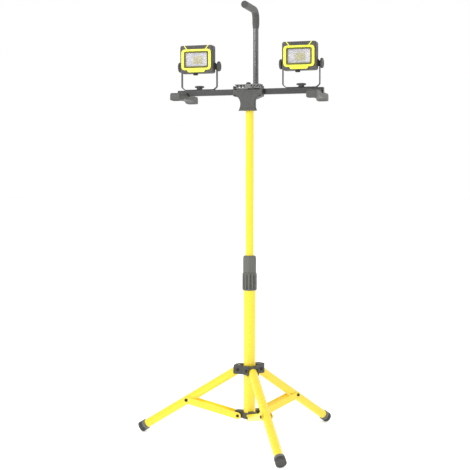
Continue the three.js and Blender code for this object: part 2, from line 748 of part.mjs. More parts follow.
function lampHousing() {
  const { front, back, wall, bottom } = HEAD;
  const hole = rod(BUTTON.radius - 2 + GAP, bottom - 1, bottom + wall + 1, "z", 20);
  return cut(
    prism(headOutline(0), front, back, "y", 2),
    prism(headOutline(wall), front + wall, back + 1, "y", 2),
    prism(windowOutline(3.5, 5), front - 1, front + wall + 1, "y", 2),
    hole.translate(BUTTON.x, BUTTON.y, 0),
  );
}

function rearCover() {
  const { halfWidth, bottom, top, back } = REAR_HUMP;
  const plateFront = HEAD.back + GAP;
  const wall = HEAD.wall;
  const ear = new THREE.Shape();
  ear.moveTo(plateFront + 1, -12);
  ear.absarc(0, 0, 9, -Math.PI / 2, Math.PI / 2);
  ear.lineTo(plateFront + 1, 12);
  const earEnd = STIRRUP.arm - STIRRUP.thickness / 2 - GAP;
  const middle = (bottom + top) / 2;
  const half = (top - bottom) / 2;
  const pieces = [
    prism(headOutline(0), plateFront, plateFront + 3, "y", 2),
    prism(roundedRect(halfWidth, half, 6, 0, middle), plateFront, back, "y", 2),
    prism(ear, halfWidth - 4, earEnd, "x"),
    prism(ear, -earEnd, -halfWidth + 4, "x"),
  ];
  const cavity = prism(
    roundedRect(halfWidth - wall, half - wall, 4, 0, middle),
    plateFront - 1,
    back - wall,
    "y",
    2,
  );
  const stud = rod(BOLT_RADIUS + GAP, halfWidth + 3, earEnd + 1, "x", 8);
  return cut(join(...pieces), cavity, stud, mirroredX(stud));
}

function lampBezel() {
  const back = HEAD.front - GAP;
  const front = back - BEZEL.depth;
  const frame = roundedRect(BEZEL.halfWidth, BEZEL.halfHeight, BEZEL.corner, 0, WINDOW.z);
  const frameTop = WINDOW.z + BEZEL.halfHeight;
  const frameBottom = WINDOW.z - BEZEL.halfHeight;
  const pieces = [
    prism(frame, front, back, "y", 3),
    prism(roundedRect(33, 8, 4, 0, frameBottom), front, back, "y", 2),
  ];
  for (const side of [-1, 1]) {
    const rib = polygon([
      [side * 31, frameTop - 2],
      [side * 35, frameTop - 2],
      [side * 46, HEAD.top - 1],
      [side * 43, HEAD.top - 1],
    ]);
    pieces.push(prism(rib, front + 1.5, back, "y"));
  }
  return cut(join(...pieces), prism(windowOutline(0, 4), front - 1, back + 1, "y", 2));
}

const lampLens = () =>
  prism(windowOutline(3.2, 4.7), HEAD.front + GAP, HEAD.front + GAP + 1.8, "y", 2);

function reflector() {
  const front = HEAD.front + HEAD.wall + GAP;
  const back = -18.4;
  const mouth = [WINDOW.halfWidth, WINDOW.halfHeight];
  const throat = [20, 15];
  const wall = 1.5;
  const thicker = ([halfX, halfZ]) => [halfX + wall, halfZ + wall];
  const flange = prism(windowOutline(6, 4), front, front + wall, "y", 2);
  const bowl = taperedBox(thicker(mouth), thicker(throat), front, back, WINDOW.z);
  const inside = taperedBox(mouth, throat, front - 0.01, back + 0.01, WINDOW.z);
  return cut(join(flange, bowl), inside);
}

function ledChip() {
  const board = -18.4 + GAP;
  return join(
    box(-26, 26, board, board + 2, WINDOW.z - 20, WINDOW.z + 20),
    box(-18, 18, board - 1.6, board + 1, WINDOW.z - 13, WINDOW.z + 13),
  );
}

function batteryPack() {
  const middle = (REAR_HUMP.bottom + REAR_HUMP.top) / 2;
  return prism(roundedRect(45, 36, 5, 0, middle), -14, 8.8, "y", 2);
}

// A rubber-booted push button under the lamp head.
function powerButton() {
  const { x, y, radius, proud } = BUTTON;
  const under = HEAD.bottom;
  const stem = radius - 2;
  const button = turned([
    [0, under - proud],
    [radius - 2, under - proud],
    [radius, under - proud + 1.5],
    [radius, under - BUTTON.travel - GAP],
    [stem, under - BUTTON.travel - GAP],
    [stem, under + HEAD.wall + 3],
    [0, under + HEAD.wall + 3],
  ], 20);
  return button.translate(x, y, 0);
}

// A tilt knob on the +X side, around the tilt axis at the local origin.
function tiltKnob() {
  const from = STIRRUP.arm + STIRRUP.thickness / 2 + GAP;
  const { radius, thickness } = TILT_KNOB;
  const knob = turned([
    [0, from],
    [9, from],
    [radius - 1, from + 2],
    [radius, from + 4],
    [radius, from + thickness - 2.5],
    [radius - 3, from + thickness],
    [0, from + thickness],
  ], 24);
  return join(alongAxis(knob, "x"), rod(BOLT_RADIUS, REAR_HUMP.halfWidth + 4, from + 2, "x", 8));
}

// ---------------------------------------------------------------- assembly
function place(parent, name, geometry, material) {
  const mesh = new THREE.Mesh(join(geometry), material);
  mesh.name = name;
  parent.add(mesh);
}

function groupAt(parent, x, y, z) {
  const group = new THREE.Group();
  group.position.set(x, y, z);
  parent.add(group);
  return group;
}

function addMast(parent) {
  place(parent, "lower_tube", lowerTube(), YELLOW_PAINT);
  place(parent, "mast_plug", mastPlug(), DARK_PLASTIC);
  place(parent, "lower_bracket", lowerBracket(), DARK_PLASTIC);
  place(parent, "collar_sleeve", collarSleeve(), COLLAR_PLASTIC);
  place(parent, "collar_nut", collarNut(), COLLAR_PLASTIC);
  place(parent, "collet", collet(), DARK_PLASTIC);
  place(parent, "leg_hub", legHub(), DARK_PLASTIC);
  place(parent, "hub_lock_knob", hubLockKnob(), DARK_PLASTIC);
}

function addLeg(parent, azimuth, number) {
  const spoke = groupAt(parent, 0, 0, 0);
  spoke.rotation.z = radians(azimuth);
  const hubEnd = groupAt(spoke, HUB_PIVOT.r, 0, HUB_PIVOT.z);
  place(hubEnd, `hub_bolt_${number}`, pivotBolt(forkHalf + HUB.cheek), BOLT_STEEL);
  const leg = groupAt(hubEnd, 0, 0, 0);
  leg.rotation.y = -legTilt;
  place(leg, `leg_tube_${number}`, legTube(), YELLOW_PAINT);
  place(leg, `foot_cap_${number}`, footCap(), RUBBER);
  const boltPlace = groupAt(leg, 0, 0, -LEG_BOLT_DISTANCE);
  place(boltPlace, `leg_bolt_${number}`, pivotBolt(forkHalf + STRUT_WALL), BOLT_STEEL);
  const strutPlace = groupAt(spoke, strutBolt.r, 0, strutBolt.z);
  strutPlace.rotation.y = -strutRise;
  place(strutPlace, `strut_${number}`, strut(), YELLOW_PAINT);
}

function addUpperMast(parent) {
  place(parent, "guide_bush", guideBush(), DARK_PLASTIC);
  place(parent, "upper_tube", upperTube(), YELLOW_PAINT);
  place(parent, "tee_front_shell", teeFrontShell(), DARK_PLASTIC);
  place(parent, "tee_rear_shell", teeRearShell(), DARK_PLASTIC);
  place(parent, "top_frame", topFrame(), DARK_PLASTIC);
  place(parent, "tee_knob", teeKnob(), DARK_PLASTIC);
  place(parent, "handle_post", handlePost(), HANDLE_STEEL);
  place(parent, "handle_grip", handleGrip(), RUBBER);
  place(parent, "crossbar", crossbar(), BLACK_STEEL);
}

function addBarEnd(parent, side, word) {
  place(parent, `bar_cap_${word}`, barCap(side), DARK_PLASTIC);
  const foot = groupAt(parent, side * FOOT_BAR.x, 0, 0);
  place(foot, `foot_bar_${word}`, footBar(), DARK_PLASTIC);
}

function addLamp(parent, side, word) {
  const stand = groupAt(parent, side * LAMP_X, 0, BAR_TOP);
  place(stand, `stirrup_${word}`, stirrup(), BLACK_STEEL);
  place(stand, `pan_knob_${word}`, panKnob(), DARK_PLASTIC);
  const head = groupAt(stand, 0, 0, TILT_Z - BAR_TOP);
  place(head, `housing_${word}`, lampHousing(), DARK_PLASTIC);
  place(head, `rear_cover_${word}`, rearCover(), DARK_PLASTIC);
  place(head, `bezel_${word}`, lampBezel(), BEZEL_PLASTIC);
  place(head, `lens_${word}`, lampLens(), GLASS);
  place(head, `reflector_${word}`, reflector(), REFLECTOR);
  place(head, `led_chip_${word}`, ledChip(), LED_PHOSPHOR);
  place(head, `battery_pack_${word}`, batteryPack(), DARK_PLASTIC);
  place(head, `power_button_${word}`, powerButton(), RUBBER);
  place(head, `tilt_knob_${word}_outer`, side > 0 ? tiltKnob() : mirroredX(tiltKnob()), DARK_PLASTIC);
  place(head, `tilt_knob_${word}_inner`, side > 0 ? mirroredX(tiltKnob()) : tiltKnob(), DARK_PLASTIC);
}

const workLight = new THREE.Group();
workLight.position.x = mastX;
addMast(workLight);
LEG_AZIMUTHS.forEach((azimuth, i) => addLeg(workLight, azimuth, i + 1));
addUpperMast(workLight);
for (const [side, word] of [[-1, "left"], [1, "right"]]) {
  addBarEnd(workLight, side, word);
  addLamp(workLight, side, word);
}

export default workLight;
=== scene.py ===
"""Twin-head work light on a folding tripod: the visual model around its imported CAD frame.

Shapes are built in millimetres in the CAD's own frame: +Z up, the lamps face -Y.
"""

import json
import math

import bmesh
import bpy
from mathutils import Matrix, Vector


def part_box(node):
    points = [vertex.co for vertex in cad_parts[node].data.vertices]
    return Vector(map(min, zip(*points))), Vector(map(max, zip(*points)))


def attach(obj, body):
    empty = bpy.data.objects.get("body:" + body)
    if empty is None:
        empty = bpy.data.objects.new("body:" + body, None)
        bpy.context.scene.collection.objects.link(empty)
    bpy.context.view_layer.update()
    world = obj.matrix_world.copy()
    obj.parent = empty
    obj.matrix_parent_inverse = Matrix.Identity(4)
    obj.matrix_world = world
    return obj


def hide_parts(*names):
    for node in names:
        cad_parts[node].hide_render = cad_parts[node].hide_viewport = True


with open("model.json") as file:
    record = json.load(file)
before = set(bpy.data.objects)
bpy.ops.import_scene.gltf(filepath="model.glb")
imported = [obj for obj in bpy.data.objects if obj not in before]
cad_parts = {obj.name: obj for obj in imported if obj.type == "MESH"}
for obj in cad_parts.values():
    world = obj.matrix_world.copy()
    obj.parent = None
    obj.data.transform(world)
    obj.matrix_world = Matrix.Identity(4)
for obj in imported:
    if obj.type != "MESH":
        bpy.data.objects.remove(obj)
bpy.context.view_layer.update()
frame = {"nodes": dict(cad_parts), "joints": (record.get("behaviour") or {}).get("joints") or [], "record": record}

# ---------------------------------------------------------------- the frame, in millimetres
MM = 0.001
JOINTS = {joint["name"]: joint for joint in frame["joints"]}
BODIES = frame["record"]["behaviour"]["bodies"]
BODY_OF = {node: body for body, nodes in BODIES.items() for node in nodes}


def span(node):
    """Lowest and highest corner of a CAD node."""
    low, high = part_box(node)
    return Vector(low) / MM, Vector(high) / MM


def pivot(joint):
    return Vector(JOINTS[joint]["pos_m"]) / MM


def middle(node):
    low, high = span(node)
    return (low + high) / 2


MAST_X = middle("upper_tube").x
LEGS = (1, 2, 3)
LAMPS = {"left": -1, "right": 1}

# ---------------------------------------------------------------- driving dimensions
WALL = 1.5  # steel tube wall
LEG_RADIUS = 15.5
FORK_HALF = 16.1  # half of the space that a leg swings in
FOOT_RADIUS = 18.5
FOOT_LENGTH = 28
STRUT_WALL = 2.2
STRUT_HALF_HEIGHT = 12
STRUT_WEB_LENGTH = 42
SLEEVE_RADIUS = 25.2
NUT_RADIUS = 23
HUB_RADIUS = 31
HUB_REACH = 54
HUB_CHEEK = 4.5
HUB_LIP = 8
BRACKET_RADIUS = 27
BRACKET_PIVOT_LIFT = 8  # the strut pivots above the bracket's underside
BOLT_RADIUS = 3
RIVET_HEAD = (5.5, 2.8)  # radius and height, as for the screws below
SHELL_SCREW_HEAD = (4, 1.6)
BAR_SCREW_HEAD = (3.6, 2.2)
LAMP_SCREW_HEAD = (3.2, 1.4)
BOLT_HEAD = 6
BOLT_HEAD_HEIGHT = 3.9
BAR_HALF = 10
TEE_FOOT_HALF = 33
TEE_WAIST_HALF = 27
TEE_PLATE = 11
TEE_NECK = 22
TEE_BACK = 17  # the rear block's depth behind the mast axis
TEE_HALF = 50  # half of its width at the crossbar
FLANGE_FOOT = 1203  # height where the tee's side flanges end
PARTING = 0.15  # each shell stops this far from the plane where they meet
SOCKET_RADIUS = 16
HANDLE_Y = 79
HANDLE_RADIUS = 10
HANDLE_BEND = 30
GRIP_RADIUS = 12.5
LATTICE_HEIGHT = 14.7  # of the clamp over the crossbar
WINDOW_HALF_WIDTH = 40
WINDOW_HALF_HEIGHT = 24
BEZEL_STEP = 4.8  # how far the bright frame stands back from the window
WINDOW_RISE = 22  # the window's middle above the tilt axis
HEAD_HALF_WIDTH = 60
HEAD_BOTTOM = -25
HEAD_TOP = 72
BEZEL_BACK = -36.3  # in front of the tilt axis
BEZEL_DEPTH = 3.7
STIRRUP_REACH = 64.8  # from the tilt axis' middle to the middle of a stirrup arm
GAP = 0.3  # between parts that touch
FINE = 64  # sides of a large round part
MEDIUM = 40
TURNED = 48  # sides of a small turned part

# ---------------------------------------------------------------- placing
ALONG_X = Matrix(((0, 0, 1, 0), (1, 0, 0, 0), (0, 1, 0, 0), (0, 0, 0, 1)))
ALONG_Y = Matrix(((1, 0, 0, 0), (0, 0, 1, 0), (0, 1, 0, 0), (0, 0, 0, 1)))


def at(x, y, z):
    return Matrix.Translation((x, y, z))


def turned(angle, axis="Z"):
    return Matrix.Rotation(angle, 4, axis)


def flipped(side):
    """Mirrors local Y when side is -1."""
    return Matrix.Diagonal((1, side, 1, 1))


ON_MAST = at(MAST_X, 0, 0)
FACING_BACK = Matrix.Rotation(math.radians(-90), 4, "X")  # local Z points to the back


def basis(origin, x, y):
    """A matrix with that origin and those two axes."""
    z = x.cross(y)
    return at(*origin) @ Matrix((x, y, z)).transposed().to_4x4()


# ---------------------------------------------------------------- outlines
def softened(corners, steps=5):
    """A closed outline from (x, y, size) corners, each rounded from size before it to size after it."""
    points = []
    for i, (x, y, size) in enumerate(corners):
        corner = Vector((x, y))
        if size == 0:
            points.append((x, y))
            continue
        before = Vector(corners[i - 1][:2])
        after = Vector(corners[(i + 1) % len(corners)][:2])
        start = corner + (before - corner).normalized() * size
        end = corner + (after - corner).normalized() * size
        for step in range(steps + 1):
            t = step / steps
            points.append(tuple(start * (1 - t) ** 2 + corner * 2 * t * (1 - t) + end * t**2))
    return points


def rectangle(x0, x1, y0, y1, size=0, steps=5):
    return softened([(x0, y0, size), (x1, y0, size), (x1, y1, size), (x0, y1, size)], steps)


def arc(x, y, radius, start, end, steps=12):
    """Points of an arc between two angles in degrees."""
    angles = [math.radians(start + (end - start) * i / steps) for i in range(steps + 1)]
    return [(x + radius * math.cos(a), y + radius * math.sin(a)) for a in angles]


def circle(radius, sides=FINE):
    return arc(0, 0, radius, 0, 360 - 360 / sides, sides - 1)


def dome(radius, base, height, degrees):
    """Profile points of a dome: how far out and how high it is at those angles."""
    angles = [math.radians(angle) for angle in degrees]
    return [(radius * math.cos(a), base + height * math.sin(a)) for a in angles]


def both_ways(side, near, far):
    """That stretch on one side of zero, in rising order."""
    return sorted((side * near, side * far))


def mirrored(points):
    """The same points on the other side of zero, in the opposite order."""
    return [(-x, *rest) for x, *rest in reversed(points)]


def curve(p0, p1, p2, p3, steps=10):
    """Points of a cubic Bezier curve, without its first one."""
    p0, p1, p2, p3 = (Vector(p) for p in (p0, p1, p2, p3))
    points = []
    for step in range(1, steps + 1):
        t = step / steps
        s = 1 - t
        points.append(tuple(p0 * s**3 + p1 * 3 * s * s * t + p2 * 3 * s * t * t + p3 * t**3))
    return points


# ---------------------------------------------------------------- closed shapes
def ringed(rings):
    """The vertices of each ring of points, in a new shape."""
    shape = bmesh.new()
    return shape, [[shape.verts.new(point) for point in ring] for ring in rings]


def band(shape, low, high):
    """Faces between two rings of vertices, where one of them may be a single tip."""
    count = max(len(low), len(high))
    for i in range(count):
        j = (i + 1) % count
        corners = [low[i % len(low)], low[j % len(low)], high[j % len(high)], high[i % len(high)]]
        shape.faces.new(list(dict.fromkeys(corners)))


def lofted(rings):
    """A closed shape through rings of points. A ring of one point is a tip.

    Any other end gets a flat face.
    """
    shape, made = ringed(rings)
    for low, high in zip(made, made[1:]):
        band(shape, low, high)
    for ring in (made[0], made[-1]):
        if len(ring) > 2:
            shape.faces.new(ring)
    return shape


def looped(rings):
    """A closed shape whose last ring of points joins its first one, such as a tube's wall."""
    shape, made = ringed(rings)
    for low, high in zip(made, made[1:] + made[:1]):
        band(shape, low, high)
    return shape


def grooved_ring(radius, height, sides, groove):
    """A round ring of points, sunk by groove(angle, height)."""
    points = []
    for i in range(sides):
        angle = 2 * math.pi * i / sides
        r = radius - groove(angle, height)
        points.append((r * math.cos(angle), r * math.sin(angle), height))
    return points


def smooth(angle, height):
    """The groove of a part that has none."""
    return 0


def revolved(profile, sides=FINE, groove=smooth):
    """A solid of revolution about Z, from (radius, height) points that start and end on the axis."""
    rings = []
    for radius, height in profile:
        rings.append(grooved_ring(radius, height, sides, groove) if radius else [(0, 0, height)])
    return lofted(rings)


def revolved_ring(profile, sides=FINE, groove=smooth):
    """A ring of revolution: the profile goes from its inner bottom edge round to its inner top edge."""
    bore = min(radius for radius, _ in profile) + 2
    return looped([grooved_ring(r, z, sides, groove if r > bore else smooth) for r, z in profile])


def tube(outer, inner, bottom, top):
    """A round tube with slightly rounded ends."""
    lip = 0.4
    corners = [(inner, bottom, lip), (outer, bottom, lip), (outer, top, lip), (inner, top, lip)]
    return revolved_ring(softened(corners, 3))


def prism(outline, low, high, edge=0.0, steps=3):
    """An outline in (x, y) raised from low to high along Z, with its end edges rounded."""
    shape = bmesh.new()
    floor = [shape.verts.new((x, y, low)) for x, y in outline]
    roof = [shape.verts.new((x, y, high)) for x, y in outline]
    ends = [shape.faces.new(floor), shape.faces.new(roof)]
    for i in range(len(outline)):
        j = (i + 1) % len(outline)
        shape.faces.new([floor[i], floor[j], roof[j], roof[i]])
    bmesh.ops.recalc_face_normals(shape, faces=shape.faces)
    if edge:
        rims = [rim for end in ends for rim in end.edges]
        bmesh.ops.bevel(shape, geom=rims, offset=edge, segments=steps, profile=0.5, affect="EDGES")
    return shape


def moved(shape, *places):
    for place in reversed(places):
        bmesh.ops.transform(shape, matrix=place, verts=shape.verts)
    bmesh.ops.recalc_face_normals(shape, faces=shape.faces)
    return shape


def copied(shape, *places):
    return moved(shape.copy(), *places)


def scratch(shape):
    bmesh.ops.recalc_face_normals(shape, faces=shape.faces)
    mesh = bpy.data.meshes.new("scratch")
    shape.to_mesh(mesh)
    shape.free()
    holder = bpy.data.objects.new("scratch", mesh)
    bpy.context.scene.collection.objects.link(holder)
    return holder


def combined(operation, base, tools):
    """The shape that is left when base is joined with or cut by the tools, which are used up."""
    target = scratch(base)
    helpers = [scratch(tool) for tool in tools]
    for helper in helpers:
        step = target.modifiers.new("step", "BOOLEAN")
        step.operation = operation
        step.solver = "EXACT"
        step.object = helper
    evaluated = target.evaluated_get(bpy.context.evaluated_depsgraph_get())
    result = bmesh.new()
    result.from_mesh(evaluated.to_mesh())
    evaluated.to_mesh_clear()
    for holder in [target, *helpers]:
        mesh = holder.data
        bpy.data.objects.remove(holder)
        bpy.data.meshes.remove(mesh)
    return result


def joined(base, *others):
    return combined("UNION", base, others)


def cut(base, *tools):
    return combined("DIFFERENCE", base, tools)


# ---------------------------------------------------------------- finishes
class Finish:
    """A procedural material on the Principled shader, with object coordinates in metres."""

    def __init__(self, name, roughness, metallic=0.0):
        self.material = bpy.data.materials.new(name)
        self.material.use_nodes = True
        self.tree = self.material.node_tree
        self.shader = self.tree.nodes["Principled BSDF"]
        self.shader.inputs["Roughness"].default_value = roughness
        self.shader.inputs["Metallic"].default_value = metallic
        self.place = self.tree.nodes.new("ShaderNodeTexCoord").outputs["Object"]

    def link(self, source, target):
        self.tree.links.new(source, target)

    def noise(self, size_mm, detail=2.0, stretch=(1, 1, 1)):
        """A soft random pattern whose features are about that large."""
        mapping = self.tree.nodes.new("ShaderNodeMapping")
        mapping.inputs["Scale"].default_value = stretch
        texture = self.tree.nodes.new("ShaderNodeTexNoise")
        texture.inputs["Scale"].default_value = 1 / (size_mm * MM)
        texture.inputs["Detail"].default_value = detail
        self.link(self.place, mapping.inputs["Vector"])
        self.link(mapping.outputs["Vector"], texture.inputs["Vector"])
        return texture.outputs["Fac"]

    def ranged(self, source, low, high):
        """The pattern's middle values, spread from low to high."""
        node = self.tree.nodes.new("ShaderNodeMapRange")
        node.inputs["From Min"].default_value = 0.35
        node.inputs["From Max"].default_value = 0.65
        node.inputs["To Min"].default_value = low
        node.inputs["To Max"].default_value = high
        self.link(source, node.inputs["Value"])
        return node.outputs["Result"]

    def mixed(self, source, first, second):
        """A colour between two others, by the pattern."""
        node = self.tree.nodes.new("ShaderNodeMix")
        node.data_type = "RGBA"
        self.link(source, node.inputs["Factor"])
        for socket, colour in ((node.inputs["A"], first), (node.inputs["B"], second)):
            if isinstance(colour, bpy.types.NodeSocket):
                self.link(colour, socket)
            else:
                socket.default_value = (*colour, 1)
        return node.outputs["Result"]

    def colour(self, source):
        self.link(source, self.shader.inputs["Base Color"])

    def roughness(self, source):
        self.link(source, self.shader.inputs["Roughness"])

    def bump(self, source, depth_mm, strength=1.0):
        node = self.tree.nodes.new("ShaderNodeBump")
        node.inputs["Strength"].default_value = strength
        node.inputs["Distance"].default_value = depth_mm * MM
        self.link(source, node.inputs["Height"])
        previous = self.shader.inputs["Normal"]
        if previous.is_linked:
            self.link(previous.links[0].from_socket, node.inputs["Normal"])
        self.link(node.outputs["Normal"], previous)


def varied(colour, change):
    return tuple(channel * change for channel in colour)


def powder_coat(name, colour, roughness=0.28, gloss=0.35):
    """Glossy powder-coated steel with a faint orange-peel surface."""
    coat = Finish(name, roughness)
    clouds = coat.ranged(coat.noise(26), 0, 1)
    coat.colour(coat.mixed(clouds, varied(colour, 0.985), colour))
    coat.roughness(coat.ranged(coat.noise(9), roughness - 0.05, roughness + 0.06))
    coat.bump(coat.noise(1.6, 1), 0.012)
    coat.bump(coat.noise(0.35, 2), 0.003)
    coat.shader.inputs["Coat Weight"].default_value = gloss
    coat.shader.inputs["Coat Roughness"].default_value = 0.08
    return coat.material


def moulded_plastic(name, colour, roughness=0.5, grain_mm=0.45, depth_mm=0.03):
    """Injection-moulded plastic with a fine spark-eroded grain and slight flow marks."""
    plastic = Finish(name, roughness)
    flow = plastic.ranged(plastic.noise(34, 3, (1, 1, 0.35)), 0, 1)
    speckle = plastic.ranged(plastic.noise(grain_mm * 1.6, 2), 0, 1)
    tint = plastic.mixed(flow, varied(colour, 0.9), varied(colour, 1.08))
    plastic.colour(plastic.mixed(speckle, tint, varied(colour, 1.12)))
    plastic.roughness(plastic.ranged(plastic.noise(12, 2), roughness - 0.06, roughness + 0.07))
    plastic.bump(plastic.noise(grain_mm, 3), depth_mm)
    return plastic.material


def rubber(name, colour):
    """Soft matte rubber with dust-like lighter patches and a fine pore texture."""
    soft = Finish(name, 0.8)
    dust = soft.ranged(soft.noise(8, 4), 0, 1)
    soft.colour(soft.mixed(dust, colour, varied(colour, 1.35)))
    soft.roughness(soft.ranged(soft.noise(3, 3), 0.68, 0.88))
    soft.bump(soft.noise(0.6, 4), 0.05)
    soft.shader.inputs["Sheen Weight"].default_value = 0.12
    soft.shader.inputs["Sheen Roughness"].default_value = 0.5
    return soft.material


def black_oxide(name, colour=(0.035, 0.035, 0.037)):
    """Dark oxidised steel with turning marks that catch the light."""
    steel = Finish(name, 0.38, 0.8)
    marks = steel.ranged(steel.noise(0.5, 2, (1, 1, 4)), 0, 1)
    steel.colour(steel.mixed(marks, colour, varied(colour, 1.8)))
    steel.roughness(steel.ranged(steel.noise(2), 0.3, 0.48))
    steel.bump(steel.noise(0.3, 2, (1, 1, 5)), 0.01)
    return steel.material


def polished_tube(name, colour):
    """Smooth dark lacquered steel tube with fine draw lines along it."""
    lacquer = Finish(name, 0.22, 0.55)
    lines = lacquer.ranged(lacquer.noise(3, 2, (1, 1, 0.02)), 0, 1)
    lacquer.colour(lacquer.mixed(lines, varied(colour, 0.92), colour))
    lacquer.roughness(lacquer.ranged(lacquer.noise(30, 2, (1, 1, 0.2)), 0.24, 0.3))
    lacquer.shader.inputs["Coat Weight"].default_value = 0.6
    lacquer.shader.inputs["Coat Roughness"].default_value = 0.06
    return lacquer.material


def clear_glass(name):
    """Thin float glass: nearly clear from the front and brighter at a shallow angle."""
    glass = Finish(name, 0.04)
    facing = glass.tree.nodes.new("ShaderNodeLayerWeight")
    facing.inputs["Blend"].default_value = 0.25
    opacity = glass.tree.nodes.new("ShaderNodeMapRange")
    opacity.inputs["To Min"].default_value = 0.1
    opacity.inputs["To Max"].default_value = 0.6
    glass.link(facing.outputs["Facing"], opacity.inputs["Value"])
    glass.link(opacity.outputs["Result"], glass.shader.inputs["Alpha"])
    glass.colour(glass.mixed(glass.ranged(glass.noise(30), 0, 1), (0.86, 0.9, 0.91), (0.92, 0.94, 0.94)))
    glass.bump(glass.noise(18, 1), 0.02)
    return glass.material


def bright_reflector(name):
    """Vacuum-metallised plastic with a fine pebbled surface that spreads the light."""
    mirror = Finish(name, 0.5, 0.3)
    haze = mirror.ranged(mirror.noise(14, 2), 0, 1)
    mirror.colour(mirror.mixed(haze, (0.7, 0.67, 0.76), (0.78, 0.76, 0.82)))
    mirror.roughness(mirror.ranged(mirror.noise(5), 0.45, 0.55))
    mirror.bump(mirror.noise(6, 1), 0.02)
    return mirror.material


def phosphor(name, colour=(0.52, 0.46, 0.17)):
    """Yellow phosphor gel over a grid of light-emitting dies."""
    gel = Finish(name, 0.45)
    upright = gel.tree.nodes.new("ShaderNodeMapping")
    upright.inputs["Rotation"].default_value = (math.radians(90), 0, 0)
    gel.link(gel.place, upright.inputs["Vector"])
    grid = gel.tree.nodes.new("ShaderNodeTexBrick")
    grid.offset = 0
    grid.inputs["Scale"].default_value = 1
    grid.inputs["Brick Width"].default_value = 3 * MM
    grid.inputs["Row Height"].default_value = 2.6 * MM
    grid.inputs["Mortar Size"].default_value = 0.35 * MM
    grid.inputs["Color1"].default_value = (*colour, 1)
    grid.inputs["Color2"].default_value = (*varied(colour, 0.92), 1)
    grid.inputs["Mortar"].default_value = (*varied(colour, 0.66), 1)
    gel.link(upright.outputs["Vector"], grid.inputs["Vector"])
    gel.colour(grid.outputs["Color"])
    gel.bump(grid.outputs["Fac"], -0.05)
    gel.bump(gel.noise(2, 2), 0.01)
    return gel.material


YELLOW = powder_coat("yellow_powder_coat", (0.96, 0.73, 0.03))
BLACK_COAT = powder_coat("black_powder_coat", (0.026, 0.026, 0.028), 0.42, 0.1)
LATTICE = moulded_plastic("satin_grey_plastic", (0.15, 0.15, 0.145), 0.4)
DARK = moulded_plastic("dark_grey_plastic", (0.058, 0.058, 0.053))
COLLAR = moulded_plastic("collar_grey_plastic", (0.12, 0.122, 0.11), 0.55)
LAMP = moulded_plastic("lamp_shell_plastic", (0.062, 0.057, 0.055), 0.5, 0.6, 0.04)
FOOT_BAR = moulded_plastic("foot_bar_plastic", (0.068, 0.069, 0.064), 0.5)
BEZEL = moulded_plastic("yellow_green_plastic", (0.84, 0.87, 0.06), 0.32, 0.5, 0.012)
TREAD = rubber("foot_rubber", (0.055, 0.055, 0.052))
GRIP = rubber("grip_rubber", (0.068, 0.068, 0.064))
# Dark olive for the ring in the step between the bezel and the window: painted shade for the shadow in that
# recess.
BEZEL_STEP_SHADE = rubber("olive_painted_shade", (0.1, 0.096, 0.02))
# Lighter grey for the upper band of each foot cap, the lower ribbed part staying darker.
BAND = rubber("lighter_foot_rubber", (0.13, 0.13, 0.125))
BUTTON = rubber("button_rubber", (0.012, 0.012, 0.012))
BOLT = black_oxide("black_oxide_steel")
POST = polished_tube("grey_lacquered_tube", (0.13, 0.13, 0.13))
GLASS = clear_glass("clear_glass")
MIRROR = bright_reflector("metallised_reflector")
PHOSPHOR = phosphor("led_phosphor")
BOARD = moulded_plastic("white_circuit_board", (0.72, 0.72, 0.68), 0.4, 0.3, 0.01)
FILM = moulded_plastic("battery_film", (0.05, 0.06, 0.11), 0.3, 0.8, 0.02)


# ---------------------------------------------------------------- pieces
def piece(name, shape, body, finish, nodes=()):
    """Adds a shape as an object that rides on a body and stands for those CAD nodes."""
    bmesh.ops.remove_doubles(shape, verts=shape.verts, dist=0.002)
    bmesh.ops.recalc_face_normals(shape, faces=shape.faces)
    bmesh.ops.scale(shape, vec=(MM, MM, MM), verts=shape.verts)
    mesh = bpy.data.meshes.new(name)
    shape.to_mesh(mesh)
    shape.free()
    mesh.materials.append(finish)
    for polygon in mesh.polygons:
        polygon.use_smooth = True
    mesh.set_sharp_from_angle(angle=math.radians(38))
    obj = bpy.data.objects.new(name, mesh)
    bpy.context.scene.collection.objects.link(obj)
    even = obj.modifiers.new("even_shading", "WEIGHTED_NORMAL")
    even.keep_sharp = True
    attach(obj, body)
    if nodes:
        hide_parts(*nodes)
    return obj


def refined(node, shape, finish):
    """A finer shape that stands for one CAD node."""
    return piece(f"{node}_fine", shape, BODY_OF[node], finish, [node])


def detail(name, shape, node, finish, slot=None):
    """A small extra piece that moves with a CAD node."""
    return piece(name, shape, BODY_OF[node], finish)


def screw(name, head, node, *places):
    """A screw or rivet head of that radius and height, on a CAD node."""
    detail(name, moved(bolt_head(*head), *places), node, BOLT, "bolt_steel")


def kept(node, finish):
    """A CAD node that stays, with its real finish."""
    obj = frame["nodes"][node]
    obj.data.materials.clear()
    obj.data.materials.append(finish)


def flutes(count, depth, share=0.42):
    """Grip grooves: how far the surface is sunk at each angle."""

    def sunk(angle, height):
        position = (angle * count / (2 * math.pi)) % 1
        if position > share:
            return 0
        return depth * math.sin(math.pi * position / share)

    return sunk


def bolt_head(radius=BOLT_HEAD, height=BOLT_HEAD_HEIGHT):
    """A domed head on local Z with a six-sided driving hole."""
    rim = height * 0.3
    crown = dome(radius, rim, height * 0.7, (20, 40, 60, 75))
    profile = [(0, 0), (radius, 0), (radius, rim), *crown, (0, height)]
    socket = prism(circle(1.9, 6), height * 0.45, height + 1)
    return cut(revolved(profile, 32), socket)


# ---------------------------------------------------------------- mast
def tube_radius_of(node):
    low, high = span(node)
    return (high.x - low.x) / 2


def build_tube(node):
    low, high = span(node)
    radius = tube_radius_of(node)
    refined(node, moved(tube(radius, radius - WALL, low.z, high.z), ON_MAST), YELLOW)


